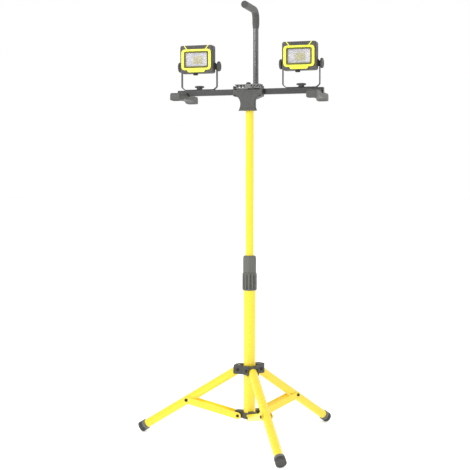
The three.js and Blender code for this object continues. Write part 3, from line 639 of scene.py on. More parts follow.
def build_mast():
    build_tube("lower_tube")
    radius = tube_radius_of("lower_tube")
    stem = radius - WALL - GAP
    shoulder = span("lower_tube")[0].z - GAP
    low, high = span("mast_plug")
    top = high.z - 0.5
    profile = [(0, low.z), (radius - 1.5, low.z), (radius, low.z + 1.5)]
    profile += [(radius, shoulder), (stem, shoulder), (stem, top), (0, top)]
    refined("mast_plug", moved(revolved(profile), ON_MAST), DARK)
    kept("collet", DARK)
    kept("guide_bush", DARK)
    build_tube("upper_tube")


def build_collar():
    build_sleeve()
    build_nut()


def build_sleeve():
    """The wide fluted part, whose flutes fade out at both ends."""
    low, high = span("collar_sleeve")
    inner = tube_radius_of("lower_tube") + GAP
    radius = SLEEVE_RADIUS
    rounding = 4.5
    profile = [(inner, low.z), (radius - rounding, low.z)]
    profile += arc(radius - rounding, low.z + rounding, rounding, -90, 0, 6)
    profile += arc(radius - rounding, high.z - rounding, rounding, 0, 90, 6)
    profile += [(inner, high.z)]
    fluted = [(radius, low.z + 5 + (high.z - low.z - 10) * i / 12) for i in range(13)]
    stations = profile[:8] + fluted + profile[8:]
    groove = flutes(12, 1.5)

    def sleeve_groove(angle, height):
        fade = min(1, max(0, (height - low.z - 3) / 5), max(0, (high.z - 3 - height) / 5))
        return groove(angle, height) * fade

    refined("collar_sleeve", moved(revolved_ring(stations, 120, sleeve_groove), ON_MAST), COLLAR)


def build_nut():
    """The narrow fluted part, whose flutes stop short of both ends."""
    low, high = span("collar_nut")
    inner = tube_radius_of("upper_tube") + GAP
    radius = NUT_RADIUS
    stations = [(inner, low.z), (radius - 1, low.z), (radius, low.z + 1)]
    stations += [(radius, low.z + 4 + i * 4) for i in range(12)]
    stations += [(radius - 0.6, high.z - 4.5), (radius - 4, high.z - 0.8), (radius - 5, high.z)]
    stations += [(inner, high.z)]
    narrow = flutes(10, 0.9, 0.5)

    def nut_groove(angle, height):
        return narrow(angle, height) if low.z + 5 < height < high.z - 7 else 0

    refined("collar_nut", moved(revolved_ring(stations, 120, nut_groove), ON_MAST), COLLAR)


# ---------------------------------------------------------------- tripod
def azimuth(number):
    top = pivot(f"leg_{number}_fold")
    return math.atan2(top.y, top.x - MAST_X)


def spoke(number):
    """The mast axis turned so that local X points at that leg."""
    return ON_MAST @ turned(azimuth(number))


def leg_place(number):
    """The leg's own frame: the hub pivot at the origin, -Z down the leg and Y along the hinge."""
    top = pivot(f"leg_{number}_fold")
    bolt = pivot(f"strut_{number}_fold")
    hinge = Vector(JOINTS[f"leg_{number}_fold"]["axis"])
    up = (top - bolt).normalized()
    return basis(top, hinge.cross(up), hinge)


def bracket_pivot(number):
    top = pivot(f"leg_{number}_fold")
    return Vector((top.x, top.y, span("lower_bracket")[0].z + BRACKET_PIVOT_LIFT))


def strut_place(number):
    """The strut's own frame: its bolt on the leg at the origin and -X down to the bracket."""
    bolt = pivot(f"strut_{number}_fold")
    hinge = Vector(JOINTS[f"strut_{number}_fold"]["axis"])
    return basis(bolt, (bolt - bracket_pivot(number)).normalized(), hinge)


def leg_reach():
    """From a leg's hub pivot down to the end of its foot cap."""
    top = pivot("leg_1_fold")
    bolt = pivot("strut_1_fold")
    down = (bolt - top).normalized()
    low, _ = span("foot_cap_1")
    lowest_rim = -FOOT_RADIUS * math.hypot(down.x, down.y)
    return (low.z - 1 - top.z - lowest_rim) / down.z


def build_hub():
    low, high = span("leg_hub")
    ring_top = high.z - 3
    reach = HUB_REACH
    body = prism(circle(HUB_RADIUS), low.z, ring_top, 1.2)
    corners = [(12, low.z, 0), (reach, low.z, 5), (reach, high.z, 14)]
    corners += [(22, high.z, 3), (17, ring_top, 0), (12, ring_top, 0)]
    cheek = moved(prism(softened(corners, 8), FORK_HALF, FORK_HALF + HUB_CHEEK, 0.9, 2), ALONG_Y)
    cheeks = []
    slots = []
    pivot_reach = (pivot("leg_1_fold") - Vector((MAST_X, 0, 0))).xy.length
    slot_outline = rectangle(pivot_reach - LEG_RADIUS - GAP, reach + 4, -FORK_HALF, FORK_HALF)
    slot = prism(slot_outline, low.z - 1, high.z + 1)
    for number in LEGS:
        turn = turned(azimuth(number))
        for side in (1, -1):
            cheeks.append(copied(cheek, turn, flipped(side)))
        slots.append(copied(slot, turn))
    bore = prism(circle(tube_radius_of("lower_tube") + 0.4), low.z - 1, high.z + 1)
    hub = moved(cut(joined(body, *cheeks), bore, *slots), ON_MAST)
    refined("leg_hub", joined(hub, *[hub_lip(number, high.z - 1) for number in LEGS]), DARK)
    build_lock_knob()


def hub_lip(number, top):
    """The arched lip over a leg, between the ends of its two cheeks."""
    base = pivot(f"leg_{number}_fold").z
    outline = rectangle(HUB_REACH - HUB_LIP, HUB_REACH - 1, base, top, 1)
    block = prism(outline, -FORK_HALF - 1, FORK_HALF + 1)
    clearance = circle(LEG_RADIUS + 0.8)
    leg = moved(prism(clearance, -60, 0), leg_place(number))
    end = moved(prism(clearance, -FORK_HALF - 2, FORK_HALF + 2), leg_place(number), ALONG_Y)
    return cut(moved(block, spoke(number), ALONG_Y), leg, end)


def build_lock_knob():
    centre = pivot("hub_lock_turn")
    axis = Vector(JOINTS["hub_lock_turn"]["axis"])
    start = centre - axis * (centre - Vector((MAST_X, 0, centre.z))).length
    place = at(start.x, start.y, centre.z) @ axis.to_track_quat("Z", "Y").to_matrix().to_4x4()
    near = HUB_RADIUS + 4
    profile = [(0, near - 12), (BOLT_RADIUS, near - 12), (BOLT_RADIUS, near), (10.5, near)]
    profile += [(12, near + 1.5), (12, near + 12), (10.8, near + 13.6), (8, near + 14)]
    profile += [(7, near + 13), (0, near + 13)]
    knob = revolved(profile, 96, knob_groove(near, flutes(8, 1.6, 0.5)))
    refined("hub_lock_knob", moved(knob, place), DARK)


def knob_groove(from_height, groove):
    """Grooves only on the knob's rim, above that height."""
    return lambda angle, height: groove(angle, height) if height > from_height else 0


def build_legs():
    reach = leg_reach()
    inner = LEG_RADIUS - WALL
    tip = -reach + 6
    angles = [math.radians(angle) for angle in range(10, 91, 10)]
    end_cap = [(LEG_RADIUS * math.sin(a), LEG_RADIUS * math.cos(a)) for a in angles]
    profile = [(0, LEG_RADIUS), *end_cap, (LEG_RADIUS, tip), (inner, tip), (inner, -6), (0, -5)]
    for number in LEGS:
        place = leg_place(number)
        refined(f"leg_tube_{number}", moved(revolved(profile), place), YELLOW)
        refined(f"foot_cap_{number}", foot_cap(reach, place), TREAD)
        build_foot_band(number, -reach + FOOT_LENGTH, place)
        build_bolt(f"hub_bolt_{number}", place, 0, FORK_HALF + HUB_CHEEK)
        build_bolt(f"leg_bolt_{number}", place, -leg_bolt_distance(), FORK_HALF + STRUT_WALL)


def build_foot_band(number, rim, place):
    """The lighter upper half of a foot cap."""
    inner = LEG_RADIUS + 0.2
    profile = [(inner, rim - 12), (FOOT_RADIUS - 0.2, rim - 12), (FOOT_RADIUS, rim - 11.6)]
    profile += [(FOOT_RADIUS, rim - 1.4), (FOOT_RADIUS - 1.4, rim + 0.2), (inner, rim + 0.2)]
    shape = moved(revolved_ring(profile), place)
    detail(f"foot_band_{number}", shape, f"foot_cap_{number}", BAND, "rubber")


def leg_bolt_distance():
    return (pivot("leg_1_fold") - pivot("strut_1_fold")).length


def foot_cap(reach, place):
    """A ribbed rubber boot with a plain collar, cut flat where it stands on the floor."""
    rim = -reach + FOOT_LENGTH
    bore = LEG_RADIUS + GAP
    plain = FOOT_RADIUS - 0.4
    groove_radius = FOOT_RADIUS - 1.1
    profile = [(0, rim - 1), (bore, rim - 1), (bore, rim), (FOOT_RADIUS - 1.2, rim)]
    profile += [(plain, rim - 1.2), (plain, rim - 8)]
    rib = 4
    for i in range(4):
        top = rim - 9 - i * rib
        profile += [(groove_radius, top), (groove_radius, top - 0.8)]
        profile += [(FOOT_RADIUS, top - 1.4), (FOOT_RADIUS, top - rib + 0.4)]
    profile += [(FOOT_RADIUS, -reach + 1), (FOOT_RADIUS - 1, -reach), (0, -reach)]
    boot = revolved(profile)
    moved(boot, place)
    everything = [*boot.verts, *boot.edges, *boot.faces]
    sole = bmesh.ops.bisect_plane(boot, geom=everything, plane_no=(0, 0, 1), clear_inner=True)
    rim_edges = [item for item in sole["geom_cut"] if isinstance(item, bmesh.types.BMEdge)]
    bmesh.ops.contextual_create(boot, geom=rim_edges)
    return boot


def build_bolt(node, place, height, half_grip):
    """A through bolt across the leg, with a domed head at one end and a nut at the other."""
    shank = prism(circle(BOLT_RADIUS, 24), -half_grip - 1, half_grip + 1)
    head = moved(bolt_head(), at(0, 0, half_grip + 0.1))
    nut_profile = [(0, 0), (BOLT_HEAD, 0), (BOLT_HEAD, 0.5), (5.4, 0.8), (5.4, 3.3)]
    nut_profile += [(4.6, BOLT_HEAD_HEIGHT), (0, BOLT_HEAD_HEIGHT)]
    nut = revolved(nut_profile, 6)
    moved(nut, at(0, 0, -half_grip - 0.1), Matrix.Diagonal((1, 1, -1, 1)))
    bolt = joined(shank, head, nut)
    refined(node, moved(bolt, place, at(0, 0, height), ALONG_Y), BOLT)


def build_struts():
    length = (pivot("strut_1_fold") - bracket_pivot(1)).length
    inner = FORK_HALF
    outer = FORK_HALF + STRUT_WALL
    half = STRUT_HALF_HEIGHT
    outline = arc(0, 0, half, -90, 90) + arc(-length, 0, half, 90, 270)
    web_end = -length + 18
    web_outline = rectangle(-outer, outer, -half, -half + STRUT_WALL)
    for number in LEGS:
        place = strut_place(number)
        plates = [moved(prism(outline, side * inner, side * outer, 0.5, 2), ALONG_Y) for side in (1, -1)]
        web = moved(prism(web_outline, web_end, web_end + STRUT_WEB_LENGTH, 0.4, 2), ALONG_X)
        refined(f"strut_{number}", moved(joined(plates[0], plates[1], web), place), YELLOW)
        for side in (1, -1):
            name = f"strut_{number}_rivet_{'a' if side > 0 else 'b'}"
            places = [place, at(-length, side * outer, 0), flipped(side), ALONG_Y]
            screw(name, RIVET_HEAD, f"strut_{number}", *places)


def build_lower_bracket():
    low, high = span("lower_bracket")
    ring_top = low.z + 21
    arm_half = 10
    reach = 54
    body = prism(circle(BRACKET_RADIUS), low.z, ring_top, 1.2)
    outline = softened([(12, low.z, 0), (reach, low.z, 8), (reach, high.z, 11), (12, high.z, 3)], 8)
    arm = moved(prism(outline, -arm_half, arm_half, 1.2), ALONG_Y)
    window = rectangle(29, 35, low.z + 7, low.z + 20, 2)
    arms = [copied(arm, turned(azimuth(number))) for number in LEGS]
    pockets = []
    for number in LEGS:
        for side in (1, -1):
            pocket = moved(prism(window, arm_half - 1.5, arm_half + 2), ALONG_Y)
            pockets.append(moved(pocket, turned(azimuth(number)), flipped(side)))
    bore = prism(circle(tube_radius_of("lower_tube") + GAP), low.z - 1, high.z + 1)
    refined("lower_bracket", moved(cut(joined(body, *arms), bore, *pockets), ON_MAST), DARK)


# ---------------------------------------------------------------- tee
def tee_outline(inset=0.0):
    """Waisted outline in (x, z), wide at the crossbar and flared again at its foot."""
    low, _ = span("tee_front_shell")
    _, high = span("tee_rear_shell")
    bottom = low.z + inset
    half = TEE_HALF - inset
    foot = TEE_FOOT_HALF - inset
    waist = TEE_WAIST_HALF - inset
    shoulder = low.z + 55 + inset
    right = [(foot, bottom)]
    neck = (waist, low.z + 30)
    right += curve((foot, bottom), (foot - 5, low.z + 9), (waist - 2, low.z + 20), neck)
    right += curve(neck, (waist + 3, low.z + 43), (half - 12, shoulder - 3), (half, shoulder))
    right += [(half, high.z - inset)]
    return right + mirrored(right)


def clamp_outline(top):
    """The block behind the face plate that holds the crossbar, in (x, z)."""
    under = middle("crossbar").z - BAR_HALF - 6
    right = [(TEE_NECK, under - 9, 0), (48, under, 3), (48, top, 0)]
    return softened(right + mirrored(right))


def tee_neck(bottom, side):
    """The half-round neck round the mast's top, on one side of the parting plane."""
    top = middle("crossbar").z - BAR_HALF - 10
    profile = [(0, bottom), (TEE_NECK - 1.5, bottom), (TEE_NECK, bottom + 1.5), (TEE_NECK, top)]
    neck = revolved([*profile, (0, top)])
    other_side = rectangle(-40, 40, *sorted((side * PARTING, -side * 40)))
    other_half = prism(other_side, bottom - 1, top + 1)
    return moved(cut(neck, other_half), ON_MAST)


def build_tee():
    low, high = span("tee_front_shell")
    rear_low, rear_high = span("tee_rear_shell")
    plate = moved(rounded_front(tee_outline(), low.y, low.y + TEE_PLATE, 3.5), ON_MAST)
    block = prism(clamp_outline(rear_high.z), low.y + TEE_PLATE - 1, -PARTING)
    moved(block, ON_MAST, ALONG_Y)
    front = joined(plate, block, tee_neck(rear_low.z, -1), *tee_flanges(low, high))
    grooves = []
    for height in (rear_high.z - 8, rear_high.z - 16, low.z + 8):
        line = rectangle(-60, 60, height, height + 1)
        grooves.append(moved(prism(line, low.y - 1, low.y + 0.5), ON_MAST, ALONG_Y))
    refined("tee_front_shell", cut(front, *grooves), DARK)
    rear_block = rounded_front(clamp_outline(rear_high.z), -TEE_BACK, -PARTING, 3)
    moved(rear_block, ON_MAST, flipped(-1))
    refined("tee_rear_shell", joined(rear_block, tee_neck(rear_low.z, 1)), DARK)
    build_tee_screws()


def rounded_front(outline, front, back, radius, steps=4):
    """A prism along Y whose front edge is rounded."""
    shape = bmesh.new()
    near = [shape.verts.new((x, front, z)) for x, z in outline]
    far = [shape.verts.new((x, back, z)) for x, z in outline]
    face = shape.faces.new(near)
    shape.faces.new(far)
    for i in range(len(outline)):
        j = (i + 1) % len(outline)
        shape.faces.new([near[i], near[j], far[j], far[i]])
    bmesh.ops.recalc_face_normals(shape, faces=shape.faces)
    edges = list(face.edges)
    bmesh.ops.bevel(shape, geom=edges, offset=radius, segments=steps, profile=0.5, affect="EDGES")
    return shape


def tee_flanges(low, high):
    flanges = []
    for side in (-1, 1):
        edges = both_ways(side, TEE_HALF - 3, TEE_HALF + 2)
        outline = rectangle(low.y, -PARTING, FLANGE_FOOT, high.z, 3)
        flanges.append(moved(prism(outline, *edges, 0.8, 2), ON_MAST, ALONG_X))
    return flanges


def build_tee_screws():
    """Screws that hold the two shells together, driven from behind."""
    bar_z = middle("crossbar").z
    places = [(-40, bar_z - 4), (40, bar_z - 4), (-25, bar_z - 20), (25, bar_z - 20)]
    for index, (x, z) in enumerate(places):
        place = at(MAST_X + x, TEE_BACK - 0.6, z) @ FACING_BACK
        screw(f"tee_screw_{index + 1}", SHELL_SCREW_HEAD, "tee_rear_shell", place)


def build_top_frame():
    """The latticed clamp over the crossbar, with the arm that carries the handle's socket."""
    low, high = span("top_frame")
    front, back = low.y, low.y + 14
    end = 46.7
    centre = 11
    top = high_chord()
    bars = [
        rectangle(-end, end, top - 3, top, 0.8, 2),
        rectangle(-end, end, low.z, low.z + 2, 0.6, 2),
        rectangle(-centre, centre, low.z, top, 1.2, 2),
    ]
    bay = (end - centre) / 3
    for side in (-1, 1):
        for i in range(3):
            head = side * (centre + (i + 1) * bay)
            foot = head - side * 9
            corners = [(head - side * 4, top - 1), (head, top - 1)]
            bars.append([*corners, (foot, low.z + 1), (foot - side * 4, low.z + 1)])
    shapes = [moved(prism(bar, front, back, 0.5, 2), ALONG_Y) for bar in bars]
    plan = [(-end, back - 2), (end, back - 2), (end, 4)]
    radius = SOCKET_RADIUS
    plan += curve((end, 4), (30, 15), (19, 40), (radius, HANDLE_Y))
    plan += arc(0, HANDLE_Y, radius, 0, 180, 16)[1:]
    plan += curve((-radius, HANDLE_Y), (-19, 40), (-30, 15), (-end, 4))
    shapes.append(prism(plan, top - 6, top, 1, 2))
    shapes.append(prism(rectangle(-3, 3, back - 2, HANDLE_Y), low.z, top - 2))
    socket = [(0, low.z), (radius - 1, low.z), (radius, low.z + 1), (radius, high.z - 3)]
    socket += [(14.8, high.z - 0.8), (13, high.z), (0, high.z)]
    shapes.append(moved(revolved(socket, TURNED), at(0, HANDLE_Y, 0)))
    refined("top_frame", moved(joined(*shapes), ON_MAST), LATTICE)
    build_handle_collar(high.z)


def build_handle_collar(foot):
    """The ring round the handle's foot, on top of its socket."""
    ring = [(10, foot - 0.5), (13.2, foot - 0.5), (13.6, foot + 1), (13, foot + 2.6)]
    ring += [(10.6, foot + 3), (10, foot + 2.6)]
    collar = moved(revolved_ring(ring, TURNED), ON_MAST, at(0, HANDLE_Y, 0))
    detail("handle_collar", collar, "handle_post", COLLAR, "collar_plastic")


def high_chord():
    """Height of the lattice's top face."""
    return span("top_frame")[0].z + LATTICE_HEIGHT


def build_tee_knob():
    low, high = span("tee_knob")
    centre = pivot("tee_knob_turn")
    foot = high_chord() + GAP
    radius = 8.5
    rim = foot + 3.6
    profile = [(0, low.z), (3, low.z), (3, foot), (7.4, foot), (radius, foot + 1.2), (radius, rim)]
    for angle in map(math.radians, (20, 40, 60, 75)):
        height = (high.z - foot - 3.6) * math.sin(angle)
        profile.append((radius * math.cos(angle), rim + height))
    profile.append((0, high.z))
    knob = revolved(profile, 80, knob_groove(foot, flutes(16, 0.5, 0.6)))
    refined("tee_knob", moved(knob, at(centre.x, centre.y, 0)), DARK)


# ---------------------------------------------------------------- handle
def hook_station(distance):
    """Centre and direction of the handle's centre line at a distance up from its foot."""
    low, _ = span("handle_post")
    _, high = span("handle_grip")
    axis_z = high.z - GRIP_RADIUS
    straight = axis_z - HANDLE_BEND - low.z
    quarter = HANDLE_BEND * math.pi / 2
    if distance <= straight:
        return Vector((MAST_X, HANDLE_Y, low.z + distance)), Vector((0, 0, 1))
    angle = min(distance - straight, quarter) / HANDLE_BEND
    along = Vector((0, -math.sin(angle), math.cos(angle)))
    centre = Vector((MAST_X, HANDLE_Y - HANDLE_BEND, axis_z - HANDLE_BEND))
    point = centre + HANDLE_BEND * Vector((0, math.cos(angle), math.sin(angle)))
    return point + along * max(0, distance - straight - quarter), along


def hook_rod(stations, sides=MEDIUM):
    """A rod along the handle's centre line through (distance, radius) stations."""
    rings = []
    across = Vector((1, 0, 0))
    for distance, radius in stations:
        point, along = hook_station(distance)
        if radius == 0:
            rings.append([point])
            continue
        up = along.cross(across)
        angles = [2 * math.pi * i / sides for i in range(sides)]
        rings.append([point + radius * (math.cos(a) * across + math.sin(a) * up) for a in angles])
    return lofted(rings)


def build_handle():
    low, _ = span("handle_post")
    grip_low, grip_high = span("handle_grip")
    straight = grip_high.z - GRIP_RADIUS - HANDLE_BEND - low.z
    grip_start = grip_low.z - low.z
    bend_end = straight + HANDLE_BEND * math.pi / 2
    total = bend_end + (HANDLE_Y - HANDLE_BEND) - grip_low.y
    post = [(0, 0), (0, HANDLE_RADIUS - 0.5), (0.5, HANDLE_RADIUS)]
    post += [(grip_start + 20, HANDLE_RADIUS), (grip_start + 20, 0)]
    refined("handle_post", hook_rod(post, FINE), POST)
    radius = GRIP_RADIUS
    grip = [(grip_start, 0), (grip_start, 10.3), (grip_start + 0.6, 10.9)]
    grip += [(grip_start + 5, 11.1), (grip_start + 16, radius)]
    grip += [(straight + step * (bend_end - straight) / 14, radius) for step in range(15)]
    grip += [(bend_end + 10 + i * (total - bend_end - 16) / 5, radius) for i in range(6)]
    grip += [(total - 3, radius), (total - 1.2, radius - 0.5), (total - 0.3, radius - 1.4)]
    grip += [(total, radius - 2.6), (total, 8.2), (total - 0.9, 7.7), (total - 0.9, 7.2)]
    grip += [(total - 0.1, 6.6), (total, 2.6), (total - 1.2, 1.8), (total - 1.4, 0)]
    refined("handle_grip", hook_rod(grip), GRIP)


# ---------------------------------------------------------------- crossbar
def build_crossbar():
    low, high = span("crossbar")
    z = (low.z + high.z) / 2
    outline = rectangle(-BAR_HALF, BAR_HALF, z - BAR_HALF, z + BAR_HALF, 2.2)
    refined("crossbar", moved(prism(outline, low.x, high.x, 0.3, 2), ALONG_X), BLACK_COAT)
    for name, side in LAMPS.items():
        cap_low, cap_high = span(f"bar_cap_{name}")
        inner = high.x + GAP if side > 0 else low.x - GAP
        outer = cap_high.x if side > 0 else cap_low.x
        rounded = rectangle(-BAR_HALF, BAR_HALF, z - BAR_HALF, z + BAR_HALF, 3.2)
        cap = moved(prism(rounded, min(inner, outer), max(inner, outer), 2.2, 4), ALONG_X)
        refined(f"bar_cap_{name}", cap, DARK)


def build_foot_bar(name):
    low, high = span(f"foot_bar_{name}")
    x = (low.x + high.x) / 2
    half_width = (high.x - low.x) / 2
    top = high.z - 7
    bottom = low.z
    end = high.y
    shoulder = end - 14
    arch = bottom + 7
    half = [(22, top, 0), (end, top, 11), (end, bottom, 5), (end - 34, bottom, 3)]
    half += [(end - 50, arch, 9)]
    outline = softened(half + mirrored(half), 6)
    beam = moved(prism(outline, -half_width, half_width, 2.6, 4), ALONG_X)
    seams = []
    for direction in (-1, 1):
        edges = both_ways(direction, shoulder, shoulder + 1.4)
        ring = rectangle(*edges, bottom - 1, top + 1)
        shallow = moved(prism(ring, -half_width - 1, half_width + 1), ALONG_X)
        plan = rectangle(-half_width + 1, half_width - 1, -end, end)
        core = prism(plan, bottom + 1, top - 1)
        seams.append(cut(shallow, core))
    corners = [(-26, top - 2, 0), (26, top - 2, 0), (26, top + 7, 4), (-26, top + 7, 4)]
    saddle_outline = softened(corners, 5)
    saddle = moved(prism(saddle_outline, -half_width + 2, half_width - 2, 1.5, 3), ALONG_X)
    bar_z = middle("crossbar").z
    notch_half = BAR_HALF + GAP
    notch_outline = rectangle(-notch_half, notch_half, bar_z - BAR_HALF - GAP, top + 30)
    notch = moved(prism(notch_outline, -half_width - 2, half_width + 2), ALONG_X)
    shape = cut(joined(beam, saddle), notch, *seams)
    refined(f"foot_bar_{name}", moved(shape, at(x, 0, 0)), FOOT_BAR)
    for index, y in enumerate((-34, -46, 34, 46)):
        place = at(x, y, top - 0.2)
        screw(f"foot_bar_{name}_screw_{index + 1}", BAR_SCREW_HEAD, f"foot_bar_{name}", place)
    for index, direction in enumerate((-1, 1)):
        edges = both_ways(direction, end - 6, end - 32)
        pad_outline = rectangle(-half_width + 3, half_width - 3, *edges, 4)
        pad = moved(prism(pad_outline, bottom, bottom + 2.5, 0.5, 2), at(x, 0, 0))
        detail(f"foot_bar_{name}_pad_{index + 1}", pad, f"foot_bar_{name}", TREAD, "rubber")


# ---------------------------------------------------------------- lamps
def build_lamp(name):
    tilt = pivot(f"tilt_{name}")
    place = at(*tilt)
    bar_top = span("crossbar")[1].z
    build_stirrup(name, at(tilt.x, 0, bar_top), tilt.z - bar_top)
    build_pan_knob(name, at(tilt.x, 0, bar_top))
    build_housing(name, place)
    build_rear_cover(name, place)
    build_bezel(name, place)
    build_optics(name, place)
    for end in ("outer", "inner"):
        build_tilt_knob(f"tilt_knob_{name}_{end}", place)
    build_button(name)
    kept(f"battery_pack_{name}", FILM)


def build_stirrup(name, place, top):
    """A steel strap bent twice at each foot, with a round ear around each tilt screw."""
    thickness, half_depth, base, rise = 2.5, 7, 54, 11
    outer = STIRRUP_REACH + thickness / 2
    inner = STIRRUP_REACH - thickness / 2
    right = [(base, GAP, 4), (outer, 10.3, 4), (outer, top, 0)]
    right += [(inner, top, 0), (inner, GAP + rise, 2.5), (base - 1, GAP + thickness, 2.5)]
    outline = softened(right + mirrored(right), 4)
    strap = moved(prism(outline, -half_depth, half_depth, 0.5, 2), ALONG_Y)
    facing_side = basis((0, 0, 0), Vector((0, 0, 1)), Vector((0, 1, 0)))
    ears = []
    for direction in (-1, 1):
        disc = prism(arc(top, 0, 9, 0, 350, 35), *both_ways(direction, inner, outer), 0.4, 2)
        ears.append(moved(disc, facing_side, Matrix.Diagonal((1, 1, -1, 1))))
    refined(f"stirrup_{name}", moved(joined(strap, *ears), place), BLACK_COAT)


def build_pan_knob(name, place):
    foot, top = 3.1, 15
    profile = [(0, -12), (3, -12), (3, foot), (11, foot), (10.2, 5), (10.4, 8), (12.5, 9)]
    profile += [(16.2, 9.4), (17, 10.2), (17, 12.4), (16, 14), (14, 14.8)]
    profile += [(9, top), (8, 14.3), (0, 14.1)]
    neck = flutes(12, 1.1, 0.55)
    rim = flutes(24, 0.5, 0.6)

    def groove(angle, height):
        if 4 < height < 8.5:
            return neck(angle, height)
        return rim(angle, height) if 10 < height < 14 else 0

    refined(f"pan_knob_{name}", moved(revolved(profile, 120, groove), place), DARK)


def head_outline(inset=0.0):
    half = HEAD_HALF_WIDTH - inset
    return rectangle(-half, half, HEAD_BOTTOM + inset, HEAD_TOP - inset, 9 - inset)


def window_outline(margin, corner):
    x, z = WINDOW_HALF_WIDTH + margin, WINDOW_HALF_HEIGHT + margin
    return rectangle(-x, x, WINDOW_RISE - z, WINDOW_RISE + z, corner)


def build_housing(name, place):
    """The front shell: an open box with the window, top ribs and corner pads."""
    front, back, wall = -36, -8, 2.5
    shell = rounded_front(head_outline(), front, back, 3)
    hollow = moved(prism(head_outline(wall), front + wall, back + 1), ALONG_Y)
    window = moved(prism(window_outline(3.5, 6), front - 1, front + wall + 1), ALONG_Y)
    tools = [hollow, window]
    for i in range(9):
        x = -26 + i * 6.5
        rib_gap = rectangle(x - 1.6, x + 1.6, 61, 69, 1.2, 3)
        tools.append(moved(prism(rib_gap, front - 1, front + 1.6), ALONG_Y))
    for direction in (-1, 1):
        for i in range(3):
            edges = both_ways(direction, 55.5, 57.5)
            slot = rectangle(*edges, 44 + i * 8, 49 + i * 8, 0.8, 2)
            tools.append(moved(prism(slot, front - 1, front + 1.2), ALONG_Y))
        for i in range(4):
            groove = rectangle(-30 + i * 5.5, -28 + i * 5.5, 6, 58, 0.8, 2)
            tools.append(moved(prism(groove, *both_ways(direction, 59.2, 62)), ALONG_X))
    refined(f"housing_{name}", moved(cut(shell, *tools), place), LAMP)


def build_rear_cover(name, place):
    """The back half with the battery bay, cooling fins and the pivot ears."""
    front = -7.7
    plate = moved(prism(head_outline(), front, front + 3, 0.6, 2), ALONG_Y)
    hump = moved(rounded_front(rectangle(-50, 50, -18, 64, 7), -12, -front - 1, 4), flipped(-1))
    ears = []
    ear_end = STIRRUP_REACH - 1.25 - GAP
    ear_outline = [(front + 1, -12), *arc(0, 0, 9, -90, 90, 14), (front + 1, 12)]
    for direction in (-1, 1):
        edges = both_ways(direction, 46, ear_end)
        ears.append(moved(prism(ear_outline, *edges, 0.6, 2), ALONG_X))
    tools = []
    for i in range(7):
        gap = rectangle(-43, 43, -10 + i * 10, -6 + i * 10, 1.8, 4)
        tools.append(moved(prism(gap, 12 - 2.2, 14), ALONG_Y))
    refined(f"rear_cover_{name}", moved(cut(joined(plate, hump, *ears), *tools), place), LAMP)
    for index, (x, z) in enumerate([(-55, -19), (55, -19), (-55, 66), (55, 66)]):
        screw_place = place @ at(x, front + 2.6, z) @ FACING_BACK
        screw(f"lamp_{name}_screw_{index + 1}", LAMP_SCREW_HEAD, f"rear_cover_{name}", screw_place)


def build_bezel(name, place):
    """The bright frame round the window, with its lower tab and two ribs to the top edge."""
    back = BEZEL_BACK
    front = back - BEZEL_DEPTH
    frame_outline = rectangle(-54, 54, WINDOW_RISE - 36, WINDOW_RISE + 36, 13, 7)
    ring = moved(prism(frame_outline, front, back, 1.3, 3), ALONG_Y)
    tab_outline = softened([(-35, -10, 0), (35, -10, 0), (30, -22, 4), (-30, -22, 4)], 4)
    tab = moved(prism(tab_outline, front, back, 1.0, 3), ALONG_Y)
    ribs = []
    for direction in (-1, 1):
        corners = [(31, 56), (35, 56), (46, 71), (42.5, 71)]
        rib = [(direction * x, z) for x, z in corners]
        ribs.append(moved(prism(rib, front + 1.5, back, 0.5, 2), ALONG_Y))
    window = moved(prism(window_outline(BEZEL_STEP, 6), front - 1, back + 1), ALONG_Y)
    chamfer = sloped_opening(front, 1.6)
    latch = moved(prism(rectangle(-14, 14, -18, -14, 1.8, 3), front - 1, front + 2.6), ALONG_Y)
    shape = cut(joined(ring, tab, *ribs), window, chamfer, latch)
    refined(f"bezel_{name}", moved(shape, place), BEZEL)
    # A dark olive ring fills the step between the frame and the window: painted shade standing for the shadow in
    # that recess.
    outer = window_outline(BEZEL_STEP - 0.1, 6)
    shade_ring = moved(prism(outer, front + 1.4, back + 0.2, 0.3, 2), ALONG_Y)
    hole = moved(prism(window_outline(-0.8, 4), front - 1, back + 2), ALONG_Y)
    shade_ring = moved(cut(shade_ring, hole), place)
    detail(f"bezel_painted_shade_{name}", shade_ring, f"bezel_{name}", BEZEL_STEP_SHADE, "rubber")


def sloped_opening(front, depth):
    """A cutter that slopes the window's front edge."""
    near = [(x, front - 0.5, z) for x, z in window_outline(BEZEL_STEP + 1.6, 7)]
    far = [(x, front + depth, z) for x, z in window_outline(BEZEL_STEP, 6)]
    return lofted([near, far])


def build_optics(name, place):
    front = -35.7
    lens = moved(prism(window_outline(3.2, 6), front, front + 1.8, 0.3, 2), ALONG_Y)
    refined(f"lens_{name}", moved(lens, place), GLASS)
    refined(f"reflector_{name}", moved(reflector_bowl(), place), MIRROR)
    board_face = -18.1
    outline = rectangle(-26, 26, WINDOW_RISE - 20, WINDOW_RISE + 20, 1)
    board = moved(prism(outline, board_face, board_face + 2), ALONG_Y)
    refined(f"led_chip_{name}", moved(board, place), BOARD)
    outline = rectangle(-18, 18, WINDOW_RISE - 13, WINDOW_RISE + 13, 1.5)
    chip = moved(prism(outline, board_face - 1.6, board_face + 1, 0.4, 2), ALONG_Y)
    detail(f"led_array_{name}", moved(chip, place), f"led_chip_{name}", PHOSPHOR)


def reflector_bowl():
    """Four sloped walls from the window down to the LED board."""
    front, back, wall = -33.2, -18.4, 1.5

    def ring(half_x, half_z, corner, y):
        low, high = WINDOW_RISE - half_z, WINDOW_RISE + half_z
        return [(x, y, z) for x, z in rectangle(-half_x, half_x, low, high, corner, 3)]

    rings = [
        ring(46, 30, 4, front),
        ring(46, 30, 4, front + wall),
        ring(42, 26, 3, front + wall),
        ring(20 + wall, 15 + wall, 1.5, back),
        ring(20, 15, 1, back),
        ring(40, 24, 2.5, front),
    ]
    return looped(rings)


